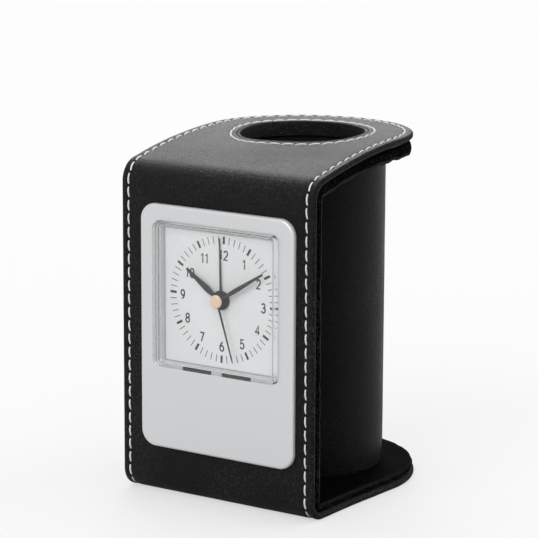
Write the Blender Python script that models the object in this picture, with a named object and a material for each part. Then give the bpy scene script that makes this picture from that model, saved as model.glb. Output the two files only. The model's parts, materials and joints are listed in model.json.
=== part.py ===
"""Desk pen holder with a quartz alarm clock in its front, as separate pieces.

Units are metres, +Z is up and the clock faces -Y. The origin is the middle of
the part's box, on the surface that it stands on. A depth is measured backwards
from the leather face of the front panel, so what stands proud has a negative one.
"""
import math

import bmesh
import bpy

# Holder: a bent panel with an upright front, a base and an arched top
WIDTH = 0.0640
HEIGHT = 0.1000
CUP_SETBACK = 0.0427
BASE_END_RADIUS = 0.0329
TOP_END_RADIUS = 0.0313
TAPER_START = 0.0200
TOP_RISE = 0.0070
ARCH_LENGTH = 0.0516
TOP_CORNER_RADIUS = 0.0065
BASE_CORNER_RADIUS = 0.0056
OUTER_LAYER = 0.0019
GLUE_GAP = 0.0002
INNER_LAYER = 0.0021
FRONT_INNER_LAYER = 0.0033
LEATHER = 0.0007
LAYER_STEP = 0.0004
EDGE_WRAP = 0.0018
BOARD_CORNER_GAP = 0.0020
SHELL = OUTER_LAYER + GLUE_GAP + INNER_LAYER
FRONT_EXTRA = FRONT_INNER_LAYER - INNER_LAYER
BODY_DEPTH = CUP_SETBACK + BASE_END_RADIUS

# Cup under the hole in the top
HOLE_RADIUS = 0.0177
BINDING = 0.0009
CUP_RADIUS = 0.0237
CUP_COVER = 0.0009
CUP_WALL = 0.0021
CUP_LINING = 0.0007
FLOOR_PAD = 0.0015

# Clock front, a little to the right of the middle
CLOCK_SIDE = 0.0010
DIAL_BELOW_TOP = 0.0420
PLATE_SIDE = 0.0051
PLATE_BOTTOM = 0.0141
PLATE_ABOVE_DIAL = 0.0251
PLATE_CORNER = 0.0047
PLATE_PROUD = 0.0015
PLATE_EDGE_ROUND = 0.0007
LENS_PROUD = 0.0030
LENS_CORNER = 0.0018
LENS_WALL = 0.0010
LENS_FRONT = 0.0012
LENS_EDGE_ROUND = 0.0004
DIAL_DEPTH = 0.0022
DIAL_THICKNESS = 0.0005
DIAL_HEIGHT = HEIGHT - DIAL_BELOW_TOP
PLATE_TOP = DIAL_HEIGHT + PLATE_ABOVE_DIAL

# Clearances
SEAT_GAP = 0.0003
THIN_GAP = 0.0001
HAND_FIT = 0.00005
RUNNING_GAP = 0.0002
OVERRUN = 0.0050

# Movement case, made to hold the button cell below the dial's centre
CASE_RIM = 0.00085
CELL_RADIUS = 0.0058
CELL_BELOW = 0.01395
CASE_CORNER = 0.0020
CASE_WALL = 0.0012
CASE_FRONT_DEPTH = 0.0004
PARTITION = 0.0010
CASE_SPLIT_DEPTH = 0.0090
CASE_REAR_DEPTH = 0.0149
REAR_WALL = 0.0010
SLOT_INNER = 0.0017
SLOT_OUTER = 0.0115
SLOT_HEIGHT = 0.0011
SLOT_DEPTH = 0.0012
SCREW_INSET = 0.0029
BOSS_RADIUS = 0.0018
SCREW_SHANK = 0.00065
SCREW_HEAD = 0.0014
SCREW_HEAD_HEIGHT = 0.00055
SCREW_RECESS_WIDTH = 0.0004
SCREW_RECESS_DEPTH = 0.0003
SCREW_RECESS_SHARE = 0.67
SCREW_BITE = 0.0040
POST_RADIUS = 0.0010
CASE_HALF = CELL_BELOW + CELL_RADIUS + SEAT_GAP + CASE_WALL
SCREW_PLACE = CASE_HALF - SCREW_INSET
LENS_HALF = CASE_HALF - CASE_RIM
PLATE_WIDTH = 2 * (LENS_HALF + PLATE_SIDE)

# Middle plate, seen from the dial centre
BRIDGE_LEFT = -0.0140
BRIDGE_RIGHT = 0.0180
BRIDGE_BOTTOM = CELL_RADIUS + SEAT_GAP - CELL_BELOW
BRIDGE_TOP = 0.0135
BRIDGE_DEPTH = 0.0083
BRIDGE_THICKNESS = 0.0006
BRIDGE_POST_INSET = 0.0015
ARBOR_HOLE = 0.0006
SHAFT_HOLE = 0.0010

# Arbors and pipes on the dial axis, from the inside outwards
ARBOR = 0.00035
PIPE_STEP = 0.0002
PIPE_WALL = 0.0004
ALARM_PIPE_WALL = 0.0005
MINUTE_BORE = 0.0006
MINUTE_PIPE = MINUTE_BORE + PIPE_WALL
HOUR_BORE = MINUTE_PIPE + PIPE_STEP
HOUR_PIPE = HOUR_BORE + PIPE_WALL
ALARM_BORE = HOUR_PIPE + PIPE_STEP
ALARM_PIPE = ALARM_BORE + ALARM_PIPE_WALL
CASE_BORE = ALARM_PIPE + PIPE_STEP
DIAL_BORE = CASE_BORE + THIN_GAP
ARBOR_REAR = CASE_REAR_DEPTH - REAR_WALL - SEAT_GAP
ARBOR_FRONT = BRIDGE_DEPTH + BRIDGE_THICKNESS + SEAT_GAP

# Hands
HAND_THICKNESS = 0.00025
ALARM_HAND_DEPTH = 0.00155
HOUR_HAND_DEPTH = 0.0009
MINUTE_HAND_DEPTH = 0.00025
SECOND_HAND_DEPTH = -0.0003
HAND_END_GAP = 0.00015
HAND_HUB = 0.0019
ALARM_HUB = ALARM_PIPE + PIPE_WALL
HAND_TIP_GAP = 0.0022
HOUR_HAND_SHORTER = 0.0040
HAND_LENGTH = LENS_HALF - LENS_WALL - HAND_TIP_GAP
HOUR_HAND_LENGTH = HAND_LENGTH - HOUR_HAND_SHORTER
BELLY_SHARE = 0.38
HOUR_HAND_ROOT = 0.0005
HOUR_HAND_BELLY = 0.00095
HOUR_HAND_TIP = 0.00035
MINUTE_HAND_ROOT = 0.00045
MINUTE_HAND_BELLY = 0.00065
MINUTE_HAND_TIP = 0.0003
THIN_HAND_ROOT = 0.0003
THIN_HAND_TIP = 0.00015
SECOND_HUB = 0.0011
CAP_RADIUS = 0.00185
CAP_HEIGHT = 0.00075
CAP_ROUND = 0.0002
HOUR_SHOWN = 10
MINUTE_SHOWN = 9.7
SECOND_SHOWN = 27.1
ALARM_HOUR_SHOWN = 11.95

# Gear sizes: teeth, then one module for each meshing pair
TOOTH_SHARE = 0.32
TIP_SHARE = 0.11
ADDENDUM_SHARE = 0.85
DEDENDUM_SHARE = 1.20
ROTOR_PINION_TEETH = 6
INTERMEDIATE_TEETH = 36
INTERMEDIATE_PINION_TEETH = 6
SECONDS_TEETH = 30
SECONDS_PINION_TEETH = 6
THIRD_TEETH = 45
THIRD_PINION_TEETH = 6
CENTRE_TEETH = 48
MINUTE_PINION_TEETH = 10
MOTION_TEETH = 30
MOTION_PINION_TEETH = 8
HOUR_TEETH = 32
TIME_PINION_TEETH = 10
ALARM_TEETH = 42
ALARM_PINION_TEETH = 14
ROTOR_MODULE = 0.00028
INTERMEDIATE_MODULE = 0.00035
THIRD_MODULE = 0.00030
MOTION_MODULE = 0.00040
ALARM_MODULE = 0.00044
THIRD_DISTANCE = THIRD_MODULE * (SECONDS_PINION_TEETH + THIRD_TEETH) / 2
CENTRE_MODULE = 2 * THIRD_DISTANCE / (THIRD_PINION_TEETH + CENTRE_TEETH)
INTERMEDIATE_DISTANCE = INTERMEDIATE_MODULE * (INTERMEDIATE_PINION_TEETH + SECONDS_TEETH) / 2
ROTOR_DISTANCE = ROTOR_MODULE * (ROTOR_PINION_TEETH + INTERMEDIATE_TEETH) / 2
MOTION_DISTANCE = MOTION_MODULE * (MINUTE_PINION_TEETH + MOTION_TEETH) / 2
TIME_SET_DISTANCE = MOTION_MODULE * (TIME_PINION_TEETH + MOTION_TEETH) / 2
ALARM_DISTANCE = ALARM_MODULE * (ALARM_PINION_TEETH + ALARM_TEETH) / 2
THIRD_DIRECTION = math.radians(-60)
INTERMEDIATE_DIRECTION = math.radians(120)
ROTOR_DIRECTION = math.radians(120)
MOTION_DIRECTION = 0.0
ALARM_DIRECTION = math.pi

# Where each wheel lies behind the front: front depth and thickness
WHEEL_THICKNESS = 0.0006
PINION_LENGTH = 0.0009
ALARM_WHEEL_DEPTH = 0.0042
HOUR_WHEEL_DEPTH = 0.0052
MOTION_WHEEL_DEPTH = 0.0062
CENTRE_WHEEL_DEPTH = 0.0072
THIRD_WHEEL_DEPTH = 0.0092
SECONDS_WHEEL_DEPTH = 0.0106
INTERMEDIATE_WHEEL_DEPTH = 0.0120
PINION_LEAD = (PINION_LENGTH - WHEEL_THICKNESS) / 2

# Stepping motor
MAGNET_RADIUS = 0.0022
MAGNET_DEPTH = 0.0095
MAGNET_LENGTH = 0.0018
STATOR_HOLE = 0.0026
STATOR_DEPTH = 0.0092
STATOR_THICKNESS = 0.0005
STATOR_HALF_WIDTH = 0.0060
STATOR_BELOW_ROTOR = 0.0037
STATOR_BRIDGE = 0.0007
STATOR_LEG = 0.0020
COIL_ABOVE_ROTOR = 0.0058
COIL_DEPTH = 0.0105
COIL_CORE_HALF = 0.0005
COIL_CORE_INSET = 0.0002
BOBBIN_BORE = 0.0008
BOBBIN_BARREL = 0.0011
BOBBIN_FLANGE = 0.0023
FLANGE_THICKNESS = 0.0004
WINDING_RADIUS = 0.0020

# Setting shafts and knobs on the rear
SHAFT = 0.0007
SHAFT_END_DEPTH = 0.0166
KNOB_RADIUS = 0.0032
KNOB_DEPTH = 0.0152
KNOB_LENGTH = 0.0020
KNOB_RIBS = 12
KNOB_RIB = 0.00025

# Electrical pieces, seen from the dial centre
CELL_FROM_SCREW = 0.00875
CELL_X = CELL_FROM_SCREW - SCREW_PLACE
CELL_Z = -CELL_BELOW
CELL_DEPTH = 0.0084
CELL_RIM = 0.0004
CONTACT_THICKNESS = 0.0003
CONTACT_HALF = 0.0020
BOARD_SIDE_GAP = 0.0004
BOARD_HEIGHT = 0.0056
BOARD_RIGHT = SCREW_PLACE - BOSS_RADIUS - SEAT_GAP
BOARD_BOTTOM = CASE_WALL + BOARD_SIDE_GAP - CASE_HALF
BOARD_TOP = BOARD_BOTTOM + BOARD_HEIGHT
BOARD_DEPTH = 0.0097
BOARD_THICKNESS = 0.0007
BOARD_POST_INSET = 0.0030
CHIP_X = 0.0080
CHIP_RADIUS = 0.0022
CHIP_HEIGHT = 0.0009
CHIP_SHOULDER_SHARE = 0.9
CRYSTAL_X = 0.0010
CRYSTAL_RADIUS = 0.0009
CRYSTAL_HALF = 0.0026
BUZZER_FROM_SCREW_X = 0.0070
BUZZER_FROM_SCREW_Z = 0.0060
BUZZER_X = SCREW_PLACE - BUZZER_FROM_SCREW_X
BUZZER_Z = SCREW_PLACE - BUZZER_FROM_SCREW_Z
BUZZER_RADIUS = 0.0070
BUZZER_THICKNESS = 0.0004
SOUND_HOLE = 0.0006
SOUND_RING = 0.0030
SOUND_HOLES = 6

# Battery door and alarm switch on the rear
DOOR_HALF = 0.0062
DOOR_TOP_ABOVE_CELL = 0.0060
TONGUE = 0.0006
TONGUE_THICKNESS = 0.0003
GRIP_RIDGES = 3
GRIP_RIDGE = 0.0006
GRIP_PITCH = 0.0014
SWITCH_X = 0.0110
SWITCH_Z = -0.0115
SWITCH_TRAVEL = 0.0030
SWITCH_NUB_HALF_X = 0.0012
SWITCH_NUB_HALF_Z = 0.0010
SWITCH_NUB_END = 0.0160
SWITCH_FLANGE_X = 0.0046
SWITCH_FLANGE_Z = 0.0019
SWITCH_FLANGE = 0.0006

FRONT_Y = -(BODY_DEPTH - LENS_PROUD) / 2
OUTLINE_SEGMENTS = 36
CORNER_STEPS = 5
ARCH_STEPS = 6
CUP_SEGMENTS = 36
FINE_SEGMENTS = 12
DISC_SEGMENTS = 24


def clear_scene():
    for item in list(bpy.data.objects):
        bpy.data.objects.remove(item, do_unlink=True)


def finish(name, colour, roughness, metallic=0.0):
    """One plain material with the piece's colour."""
    material = bpy.data.materials.new(name)
    material.use_nodes = True
    shader = material.node_tree.nodes["Principled BSDF"]
    shader.inputs["Base Color"].default_value = (*colour, 1.0)
    shader.inputs["Roughness"].default_value = roughness
    shader.inputs["Metallic"].default_value = metallic
    return material


def make_object(name, points, faces, location):
    """A closed solid from points and faces, with its faces turned outwards."""
    mesh = bpy.data.meshes.new(name)
    mesh.from_pydata(points, [], faces)
    shape = bmesh.new()
    shape.from_mesh(mesh)
    bmesh.ops.recalc_face_normals(shape, faces=shape.faces)
    shape.to_mesh(mesh)
    shape.free()
    item = bpy.data.objects.new(name, mesh)
    item.location = location
    bpy.context.scene.collection.objects.link(item)
    return item


def loft(name, rows, axis="Y", centre=(0.0, 0.0)):
    """A solid through outlines of equal length, each given as (place, outline).

    Along Y an outline is (x, z) about the centre and the place is a depth, along Z
    it is (x, depth) and the place a height, and along X it is (depth, z).
    """
    size = len(rows[0][1])
    points = []
    for place, outline in rows:
        for across, other in outline:
            if axis == "Y":
                points.append((across, place, other))
            elif axis == "Z":
                points.append((across, other, place))
            else:
                points.append((place, across, other))
    faces = [tuple(range(size)), tuple(reversed(range(len(points) - size, len(points))))]
    for row in range(len(rows) - 1):
        for step in range(size):
            following = (step + 1) % size
            near = row * size
            far = near + size
            faces.append((near + step, near + following, far + following, far + step))
    if axis == "Y":
        location = (centre[0], FRONT_Y, centre[1])
    elif axis == "Z":
        location = (centre[0], FRONT_Y + centre[1], 0.0)
    else:
        location = (0.0, FRONT_Y + centre[0], centre[1])
    return make_object(name, points, faces, location)


def dress(item, material, smooth=True):
    item.data.materials.append(material)
    if smooth:
        item.data.shade_smooth()
        item.data.set_sharp_from_angle(angle=math.radians(35))
    return item


def combine(item, tool, operation="DIFFERENCE"):
    """Cuts, joins or trims one solid with another, which is then only a guide."""
    step = item.modifiers.new(tool.name, "BOOLEAN")
    step.operation = operation
    step.solver = "EXACT"
    step.object = tool
    tool.hide_render = True
    tool.hide_set(True)
    tool.display_type = "WIRE"
    return item


def circle(radius, segments):
    turn = 2 * math.pi / segments
    return [(radius * math.cos(turn * i), radius * math.sin(turn * i)) for i in range(segments)]


def rectangle(left, right, bottom, top):
    return [(left, bottom), (right, bottom), (right, top), (left, top)]


def rounded_rectangle(half_width, half_height, radius, middle=0.0):
    """A rectangle with round corners, whose middle may be moved along the second axis."""
    outline = []
    for corner, (side, end) in enumerate(((1, 1), (-1, 1), (-1, -1), (1, -1))):
        for i in range(CORNER_STEPS + 1):
            angle = math.pi / 2 * (corner + i / CORNER_STEPS)
            across = side * (half_width - radius) + radius * math.cos(angle)
            along = end * (half_height - radius) + radius * math.sin(angle)
            outline.append((across, middle + along))
    return outline


def gear_outline(teeth, module, phase):
    """Straight-sided teeth with room to run, the first one centred at the phase."""
    pitch = 2 * math.pi / teeth
    root = module * (teeth / 2 - DEDENDUM_SHARE)
    tip = module * (teeth / 2 + ADDENDUM_SHARE)
    outline = []
    for tooth in range(teeth):
        middle = phase + tooth * pitch
        for radius, share in ((root, -TOOTH_SHARE), (tip, -TIP_SHARE), (tip, TIP_SHARE), (root, TOOTH_SHARE)):
            angle = middle + share * pitch
            outline.append((radius * math.cos(angle), radius * math.sin(angle)))
    return outline


def ribbed_outline(radius, ribs, rib):
    """A circle with small grip ribs."""
    step = math.pi / ribs
    outline = []
    for i in range(2 * ribs):
        reach = radius if i % 2 else radius - rib
        outline.append((reach * math.cos(i * step), reach * math.sin(i * step)))
    return outline


def meshing_phase(direction, phase, teeth, other_teeth):
    """The phase of the gear that lies in the direction, so that its gaps take the teeth."""
    half_pitch = math.pi / other_teeth
    return direction + math.pi - half_pitch + (direction - phase) * teeth / other_teeth


def beside(centre, distance, direction):
    return (centre[0] + distance * math.cos(direction), centre[1] + distance * math.sin(direction))


def bore(item, radius, start, end, centre, segments=FINE_SEGMENTS):
    tool = loft(item.name + "_bore", [(start, circle(radius, segments)), (end, circle(radius, segments))],
                "Y", centre)
    return combine(item, tool)


def rod(name, radius, start, end, centre, segments=FINE_SEGMENTS):
    return loft(name, [(start, circle(radius, segments)), (end, circle(radius, segments))], "Y", centre)


def block(name, left, right, bottom, top, start, end):
    """A plain block whose sides are given from the dial centre, between two depths."""
    outline = rectangle(left, right, bottom, top)
    return loft(name, [(start, outline), (end, outline)], "Y", DIAL_CENTRE)


def toothed(name, teeth, module, phase, start, length, centre):
    outline = gear_outline(teeth, module, phase)
    return loft(name, [(start, outline), (start + length, outline)], "Y", centre)


def top_arch(depth):
    """Height and slope of the arched top at a depth."""
    if depth >= ARCH_LENGTH:
        return HEIGHT, 0.0
    left = 1 - depth / ARCH_LENGTH
    return HEIGHT - TOP_RISE * left * left, 2 * TOP_RISE * left / ARCH_LENGTH


def corner_touch():
    """The depth at which the top's round corner runs into the arch, and its tilt."""
    depth = TOP_CORNER_RADIUS
    tilt = 0.0
    for _ in range(12):
        tilt = math.atan(top_arch(depth)[1])
        depth = TOP_CORNER_RADIUS * (1 - math.sin(tilt))
    return depth, tilt


def top_stations(start, end):
    """Places along the arched top with their outward directions."""
    stations = []
    for i in range(ARCH_STEPS + 1):
        depth = start + (ARCH_LENGTH - start) * i / ARCH_STEPS
        height, slope = top_arch(depth)
        tilt = math.atan(slope)
        stations.append((depth, height, -math.sin(tilt), math.cos(tilt)))
    stations.append((end, HEIGHT, 0.0, 1.0))
    return stations


def holder_stations():
    """The outer outline of the bent panel, from the base's rear round to the top's rear."""
    rear = BODY_DEPTH + OVERRUN
    stations = [(rear, 0.0, 0.0, -1.0)]
    for i in range(CORNER_STEPS + 1):
        angle = math.pi * (1.5 - 0.5 * i / CORNER_STEPS)
        stations.append((BASE_CORNER_RADIUS * (1 + math.cos(angle)),
                         BASE_CORNER_RADIUS * (1 + math.sin(angle)), math.cos(angle), math.sin(angle)))
    depth, tilt = corner_touch()
    centre_height = top_arch(depth)[0] - TOP_CORNER_RADIUS * math.cos(tilt)
    for i in range(CORNER_STEPS):
        angle = math.pi - (math.pi / 2 - tilt) * i / CORNER_STEPS
        stations.append((TOP_CORNER_RADIUS * (1 + math.cos(angle)),
                         centre_height + TOP_CORNER_RADIUS * math.sin(angle),
                         math.cos(angle), math.sin(angle)))
    return stations + top_stations(depth, rear)


def front_stations():
    """The flat stretch of the front, where its boards lie."""
    depth, tilt = corner_touch()
    top = top_arch(depth)[0] - TOP_CORNER_RADIUS * math.cos(tilt)
    return [(0.0, BASE_CORNER_RADIUS + BOARD_CORNER_GAP, -1.0, 0.0), (0.0, top - BOARD_CORNER_GAP, -1.0, 0.0)]


def base_stations():
    return [(BODY_DEPTH + OVERRUN, 0.0, 0.0, -1.0), (BASE_CORNER_RADIUS + BOARD_CORNER_GAP, 0.0, 0.0, -1.0)]


def band(name, stations, near, far, half_width, extra=0.0):
    """A strip that follows the stations, between two depths under their outer face.

    Its far side may be deeper by an extra where the strip stands upright.
    """
    points = []
    for depth, height, out_depth, out_height in stations:
        for inset in (near, far + extra * out_depth * out_depth):
            for side in (-half_width, half_width):
                points.append((side, depth - out_depth * inset, height - out_height * inset))
    faces = []
    last = 4 * (len(stations) - 1)
    for first in range(0, last, 4):
        for corner, following in ((0, 1), (1, 3), (3, 2), (2, 0)):
            faces.append((first + corner, first + following, first + 4 + following, first + 4 + corner))
    faces.append((0, 1, 3, 2))
    faces.append((last, last + 1, last + 3, last + 2))
    return make_object(name, points, faces, (0.0, FRONT_Y, 0.0))


def plan(name, edge):
    """The holder's outline from above, less an edge: its sides run to a round end about the cup.

    The end is wider at the base than at the top.
    """
    half = WIDTH / 2 - edge
    rows = []
    for height, end_radius in ((-OVERRUN, BASE_END_RADIUS), (HEIGHT / 3, BASE_END_RADIUS),
                               (HEIGHT / 2, TOP_END_RADIUS), (HEIGHT + OVERRUN, TOP_END_RADIUS)):
        reach = end_radius - edge
        outline = [(-half, -OVERRUN - LENS_PROUD), (half, -OVERRUN - LENS_PROUD), (half, TAPER_START)]
        for i in range(OUTLINE_SEGMENTS + 1):
            angle = math.pi * i / OUTLINE_SEGMENTS
            outline.append((reach * math.cos(angle), CUP_SETBACK + reach * math.sin(angle)))
        outline.append((-half, TAPER_START))
        rows.append((height, outline))
    return loft(name, rows, "Z")


def upright(name, radius, start, end, segments=CUP_SEGMENTS):
    """A round solid about the cup's axis, between two heights."""
    outline = circle(radius, segments)
    return loft(name, [(start, outline), (end, outline)], "Z", (0.0, CUP_SETBACK))


def clock_window(name, clearance):
    """The square opening through the front panel for the movement."""
    reach = CASE_HALF + clearance
    outline = rounded_rectangle(reach, reach, CASE_CORNER)
    rear = SHELL + FRONT_EXTRA + OVERRUN
    return loft(name, [(-OVERRUN, outline), (rear, outline)], "Y", DIAL_CENTRE)


def layer(name, near, far, edge, hole, material, extra=0.0):
    """One of the two leather layers of the bent panel, open for the clock and the cup."""
    item = band(name, holder_stations(), near, far, WIDTH / 2 + OVERRUN, extra)
    combine(item, plan(name + "_plan", edge), "INTERSECT")
    combine(item, upright(name + "_hole", hole, HEIGHT / 2, HEIGHT + OVERRUN))
    combine(item, clock_window(name + "_window", SEAT_GAP))
    return dress(item, material)


def board(name, stations, near, far, edge, hole=None, window=False, clearance=0.0, extra=0.0):
    """A stiff sheet under the leather, or with a clearance the pocket that holds it."""
    grown = list(stations)
    if clearance:
        first, last = grown[0], grown[-1]
        grown[0] = stretch(first, grown[1], clearance)
        grown[-1] = stretch(last, grown[-2], clearance)
    item = band(name, grown, near, far, WIDTH / 2 + OVERRUN, extra)
    combine(item, plan(name + "_plan", edge - clearance), "INTERSECT")
    if hole:
        combine(item, upright(name + "_hole", hole - clearance, HEIGHT / 2, HEIGHT + OVERRUN))
    if window:
        combine(item, clock_window(name + "_window", EDGE_WRAP - clearance))
    return item


def stretch(end, neighbour, reach):
    """Moves an end station away from its neighbour."""
    run = math.hypot(end[0] - neighbour[0], end[1] - neighbour[1])
    share = 1 + reach / run
    return (neighbour[0] + (end[0] - neighbour[0]) * share,
            neighbour[1] + (end[1] - neighbour[1]) * share, end[2], end[3])


def build_holder():
    """The two leather layers and the boards that stiffen them."""
    leather = finish("leather", (0.020, 0.019, 0.020), 0.62)
    card = finish("greyboard", (0.32, 0.29, 0.25), 0.9)
    binding_outer = HOLE_RADIUS + BINDING
    cut = binding_outer + THIN_GAP
    outer = layer("outer_cover", 0.0, OUTER_LAYER, 0.0, cut, leather)
    inner = layer("inner_cover", OUTER_LAYER + GLUE_GAP, SHELL, LAYER_STEP, cut, leather, FRONT_EXTRA)
    depth = corner_touch()[0] + BOARD_CORNER_GAP
    places = {
        "front": (front_stations(), None, True),
        "top": (top_stations(depth, BODY_DEPTH + OVERRUN), cut + EDGE_WRAP, False),
        "base": (base_stations(), None, False),
    }
    for place, (stations, hole, window) in places.items():
        near = LEATHER + THIN_GAP
        pocket = board("pocket_outer_" + place, stations, LEATHER, OUTER_LAYER + THIN_GAP, EDGE_WRAP,
                       hole, window, THIN_GAP)
        combine(outer, pocket)
        dress(board(place + "_stiffener", stations, near, OUTER_LAYER, EDGE_WRAP, hole, window), card)
        start = OUTER_LAYER + GLUE_GAP
        edge = EDGE_WRAP + LAYER_STEP
        pocket = board("pocket_inner_" + place, stations, start - THIN_GAP, SHELL - LEATHER, edge,
                       hole, window, THIN_GAP, FRONT_EXTRA)
        combine(inner, pocket)
        dress(board(place + "_board", stations, start, SHELL - LEATHER - THIN_GAP, edge, hole, window,
                    extra=FRONT_EXTRA), card)
    build_binding(leather, binding_outer)


def build_binding(leather, outer_radius):
    """The leather ring that lines the hole through the top."""
    item = upright("hole_binding", outer_radius, HEIGHT - TOP_RISE - SHELL, HEIGHT + OVERRUN)
    depth = corner_touch()[0]
    trim = band("hole_binding_trim", top_stations(depth, BODY_DEPTH), 0.0, SHELL, WIDTH / 2)
    combine(item, trim, "INTERSECT")
    combine(item, upright("hole_binding_bore", HOLE_RADIUS, HEIGHT / 2, HEIGHT + OVERRUN))
    dress(item, leather)


def sleeve(name, outer, inner, start, material):
    """A tube of the cup, cut at its top to the underside of the arched panel."""
    item = upright(name, outer, start, HEIGHT + OVERRUN)
    combine(item, upright(name + "_bore", inner, -OVERRUN, HEIGHT + 2 * OVERRUN))
    depth = corner_touch()[0]
    stations = top_stations(depth, BODY_DEPTH + OVERRUN)
    lid = band(name + "_lid", stations, -2 * OVERRUN, SHELL + GLUE_GAP, WIDTH / 2)
    combine(item, lid)
    return dress(item, material)


def build_cup():
    start = SHELL + GLUE_GAP
    wrap = CUP_RADIUS - CUP_COVER
    core = wrap - THIN_GAP
    core_inner = core - CUP_WALL
    lining = core_inner - THIN_GAP
    lining_inner = lining - CUP_LINING
    sleeve("cup_cover", CUP_RADIUS, wrap, start, finish("cup_leather", (0.030, 0.030, 0.032), 0.55))
    sleeve("cup_tube", core, core_inner, start, finish("card_tube", (0.34, 0.30, 0.24), 0.9))
    sleeve("cup_lining", lining, lining_inner, start, finish("lining_cloth", (0.02, 0.02, 0.022), 0.95))
    pad = upright("cup_floor_pad", lining_inner - SEAT_GAP, start, start + FLOOR_PAD)
    dress(pad, finish("floor_felt", (0.02, 0.02, 0.022), 0.95))


def build_face():
    """The metal face plate, the clear lens and the dial."""
    middle = (PLATE_TOP + PLATE_BOTTOM) / 2 - DIAL_HEIGHT
    half_height = (PLATE_TOP - PLATE_BOTTOM) / 2
    rows = [(-THIN_GAP, 0.0), (PLATE_EDGE_ROUND - PLATE_PROUD, 0.0)]
    rows += round_edge(-PLATE_PROUD, PLATE_EDGE_ROUND)
    half = PLATE_WIDTH / 2
    rows = [(depth, rounded_rectangle(half - inset, half_height - inset, PLATE_CORNER - inset, middle))
            for depth, inset in rows]
    plate = loft("face_plate", rows, "Y", DIAL_CENTRE)
    reach = LENS_HALF + SEAT_GAP
    hole = rounded_rectangle(reach, reach, LENS_CORNER)
    combine(plate, loft("face_plate_window", [(-OVERRUN, hole), (OVERRUN, hole)], "Y", DIAL_CENTRE))
    dress(plate, finish("satin_silver", (0.68, 0.69, 0.70), 0.30, 1.0))

    rear = CASE_FRONT_DEPTH - SEAT_GAP
    rows = [(rear, 0.0), (LENS_EDGE_ROUND - LENS_PROUD, 0.0)] + round_edge(-LENS_PROUD, LENS_EDGE_ROUND)
    rows = [(depth, rounded_rectangle(LENS_HALF - inset, LENS_HALF - inset, LENS_CORNER - inset))
            for depth, inset in rows]
    lens = loft("lens", rows, "Y", DIAL_CENTRE)
    inner = rounded_rectangle(LENS_HALF - LENS_WALL, LENS_HALF - LENS_WALL, LENS_CORNER - LENS_WALL)
    hollow = loft("lens_hollow", [(LENS_FRONT - LENS_PROUD, inner), (OVERRUN, inner)], "Y", DIAL_CENTRE)
    combine(lens, hollow)
    dress(lens, finish("clear_plastic", (0.9, 0.9, 0.9), 0.05))

    reach = LENS_HALF - LENS_WALL - RUNNING_GAP
    outline = rounded_rectangle(reach, reach, LENS_CORNER - LENS_WALL)
    dial = loft("dial", [(DIAL_DEPTH, outline), (DIAL_DEPTH + DIAL_THICKNESS, outline)], "Y", DIAL_CENTRE)
    bore(dial, DIAL_BORE, -OVERRUN, OVERRUN, DIAL_CENTRE)
    dress(dial, finish("dial_white", (0.74, 0.75, 0.76), 0.5), smooth=False)


def round_edge(end, radius, steps=3):
    """Depths and insets of a quarter-round front edge."""
    rows = []
    for i in range(1, steps + 1):
        angle = math.pi / 2 * i / steps
        rows.append((end + radius * (1 - math.sin(angle)), radius * (1 - math.cos(angle))))
    return rows


def hand_outline(hub, angle, root, belly, tip, length):
    """A round hub with one blade, from half widths at the hub, at the widest place and at the tip."""
    outline = []
    widest = BELLY_SHARE * length
    for reach, side in ((widest, -belly), (length, -tip), (length, tip), (widest, belly)):
        outline.append((reach * math.cos(angle) - side * math.sin(angle),
                        reach * math.sin(angle) + side * math.cos(angle)))
    gap = math.asin(root / hub)
    for i in range(DISC_SEGMENTS + 1):
        turn = angle + gap + (2 * math.pi - 2 * gap) * i / DISC_SEGMENTS
        outline.append((hub * math.cos(turn), hub * math.sin(turn)))
    return outline


def hand(name, depth, hub, hole, blade, material):
    """A hand whose blade is (angle, half widths at the hub, at the widest place and at the tip, length)."""
    outline = hand_outline(hub, *blade)
    item = loft(name, [(depth, outline), (depth + HAND_THICKNESS, outline)], "Y", DIAL_CENTRE)
    bore(item, hole, -OVERRUN, OVERRUN, DIAL_CENTRE)
    return dress(item, material, smooth=False)


def clock_angle(turns):
    """The direction of a hand after some turns from twelve o'clock."""
    return math.pi / 2 - 2 * math.pi * turns


def build_hands():
    grey = finish("hand_grey", (0.08, 0.08, 0.085), 0.45, 0.3)
    second = clock_angle(SECOND_SHOWN / 60)
    minute = clock_angle(MINUTE_SHOWN / 60)
    hour = clock_angle((HOUR_SHOWN + MINUTE_SHOWN / 60) / 12)
    alarm = clock_angle(ALARM_HOUR_SHOWN / 12)
    thin = (THIN_HAND_ROOT, THIN_HAND_ROOT, THIN_HAND_TIP, HAND_LENGTH)
    hand("alarm_hand", ALARM_HAND_DEPTH, ALARM_HUB, ALARM_PIPE + HAND_FIT, (alarm, *thin), grey)
    hand("hour_hand", HOUR_HAND_DEPTH, HOUR_PIPE + PIPE_WALL, HOUR_PIPE + HAND_FIT,
         (hour, HOUR_HAND_ROOT, HOUR_HAND_BELLY, HOUR_HAND_TIP, HOUR_HAND_LENGTH), grey)
    hand("minute_hand", MINUTE_HAND_DEPTH, HAND_HUB, MINUTE_PIPE + HAND_FIT,
         (minute, MINUTE_HAND_ROOT, MINUTE_HAND_BELLY, MINUTE_HAND_TIP, HAND_LENGTH), grey)
    hand("second_hand", SECOND_HAND_DEPTH, SECOND_HUB, ARBOR + HAND_FIT, (second, *thin), grey)
    rear = SECOND_HAND_DEPTH - HAND_FIT
    rows = [(rear, circle(CAP_RADIUS, DISC_SEGMENTS)),
            (rear - CAP_HEIGHT + CAP_ROUND, circle(CAP_RADIUS, DISC_SEGMENTS)),
            (rear - CAP_HEIGHT, circle(CAP_RADIUS - CAP_ROUND, DISC_SEGMENTS))]
    copper = finish("copper_cap", (0.78, 0.54, 0.33), 0.35, 0.6)
    dress(loft("second_hand_cap", rows, "Y", DIAL_CENTRE), copper)


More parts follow.
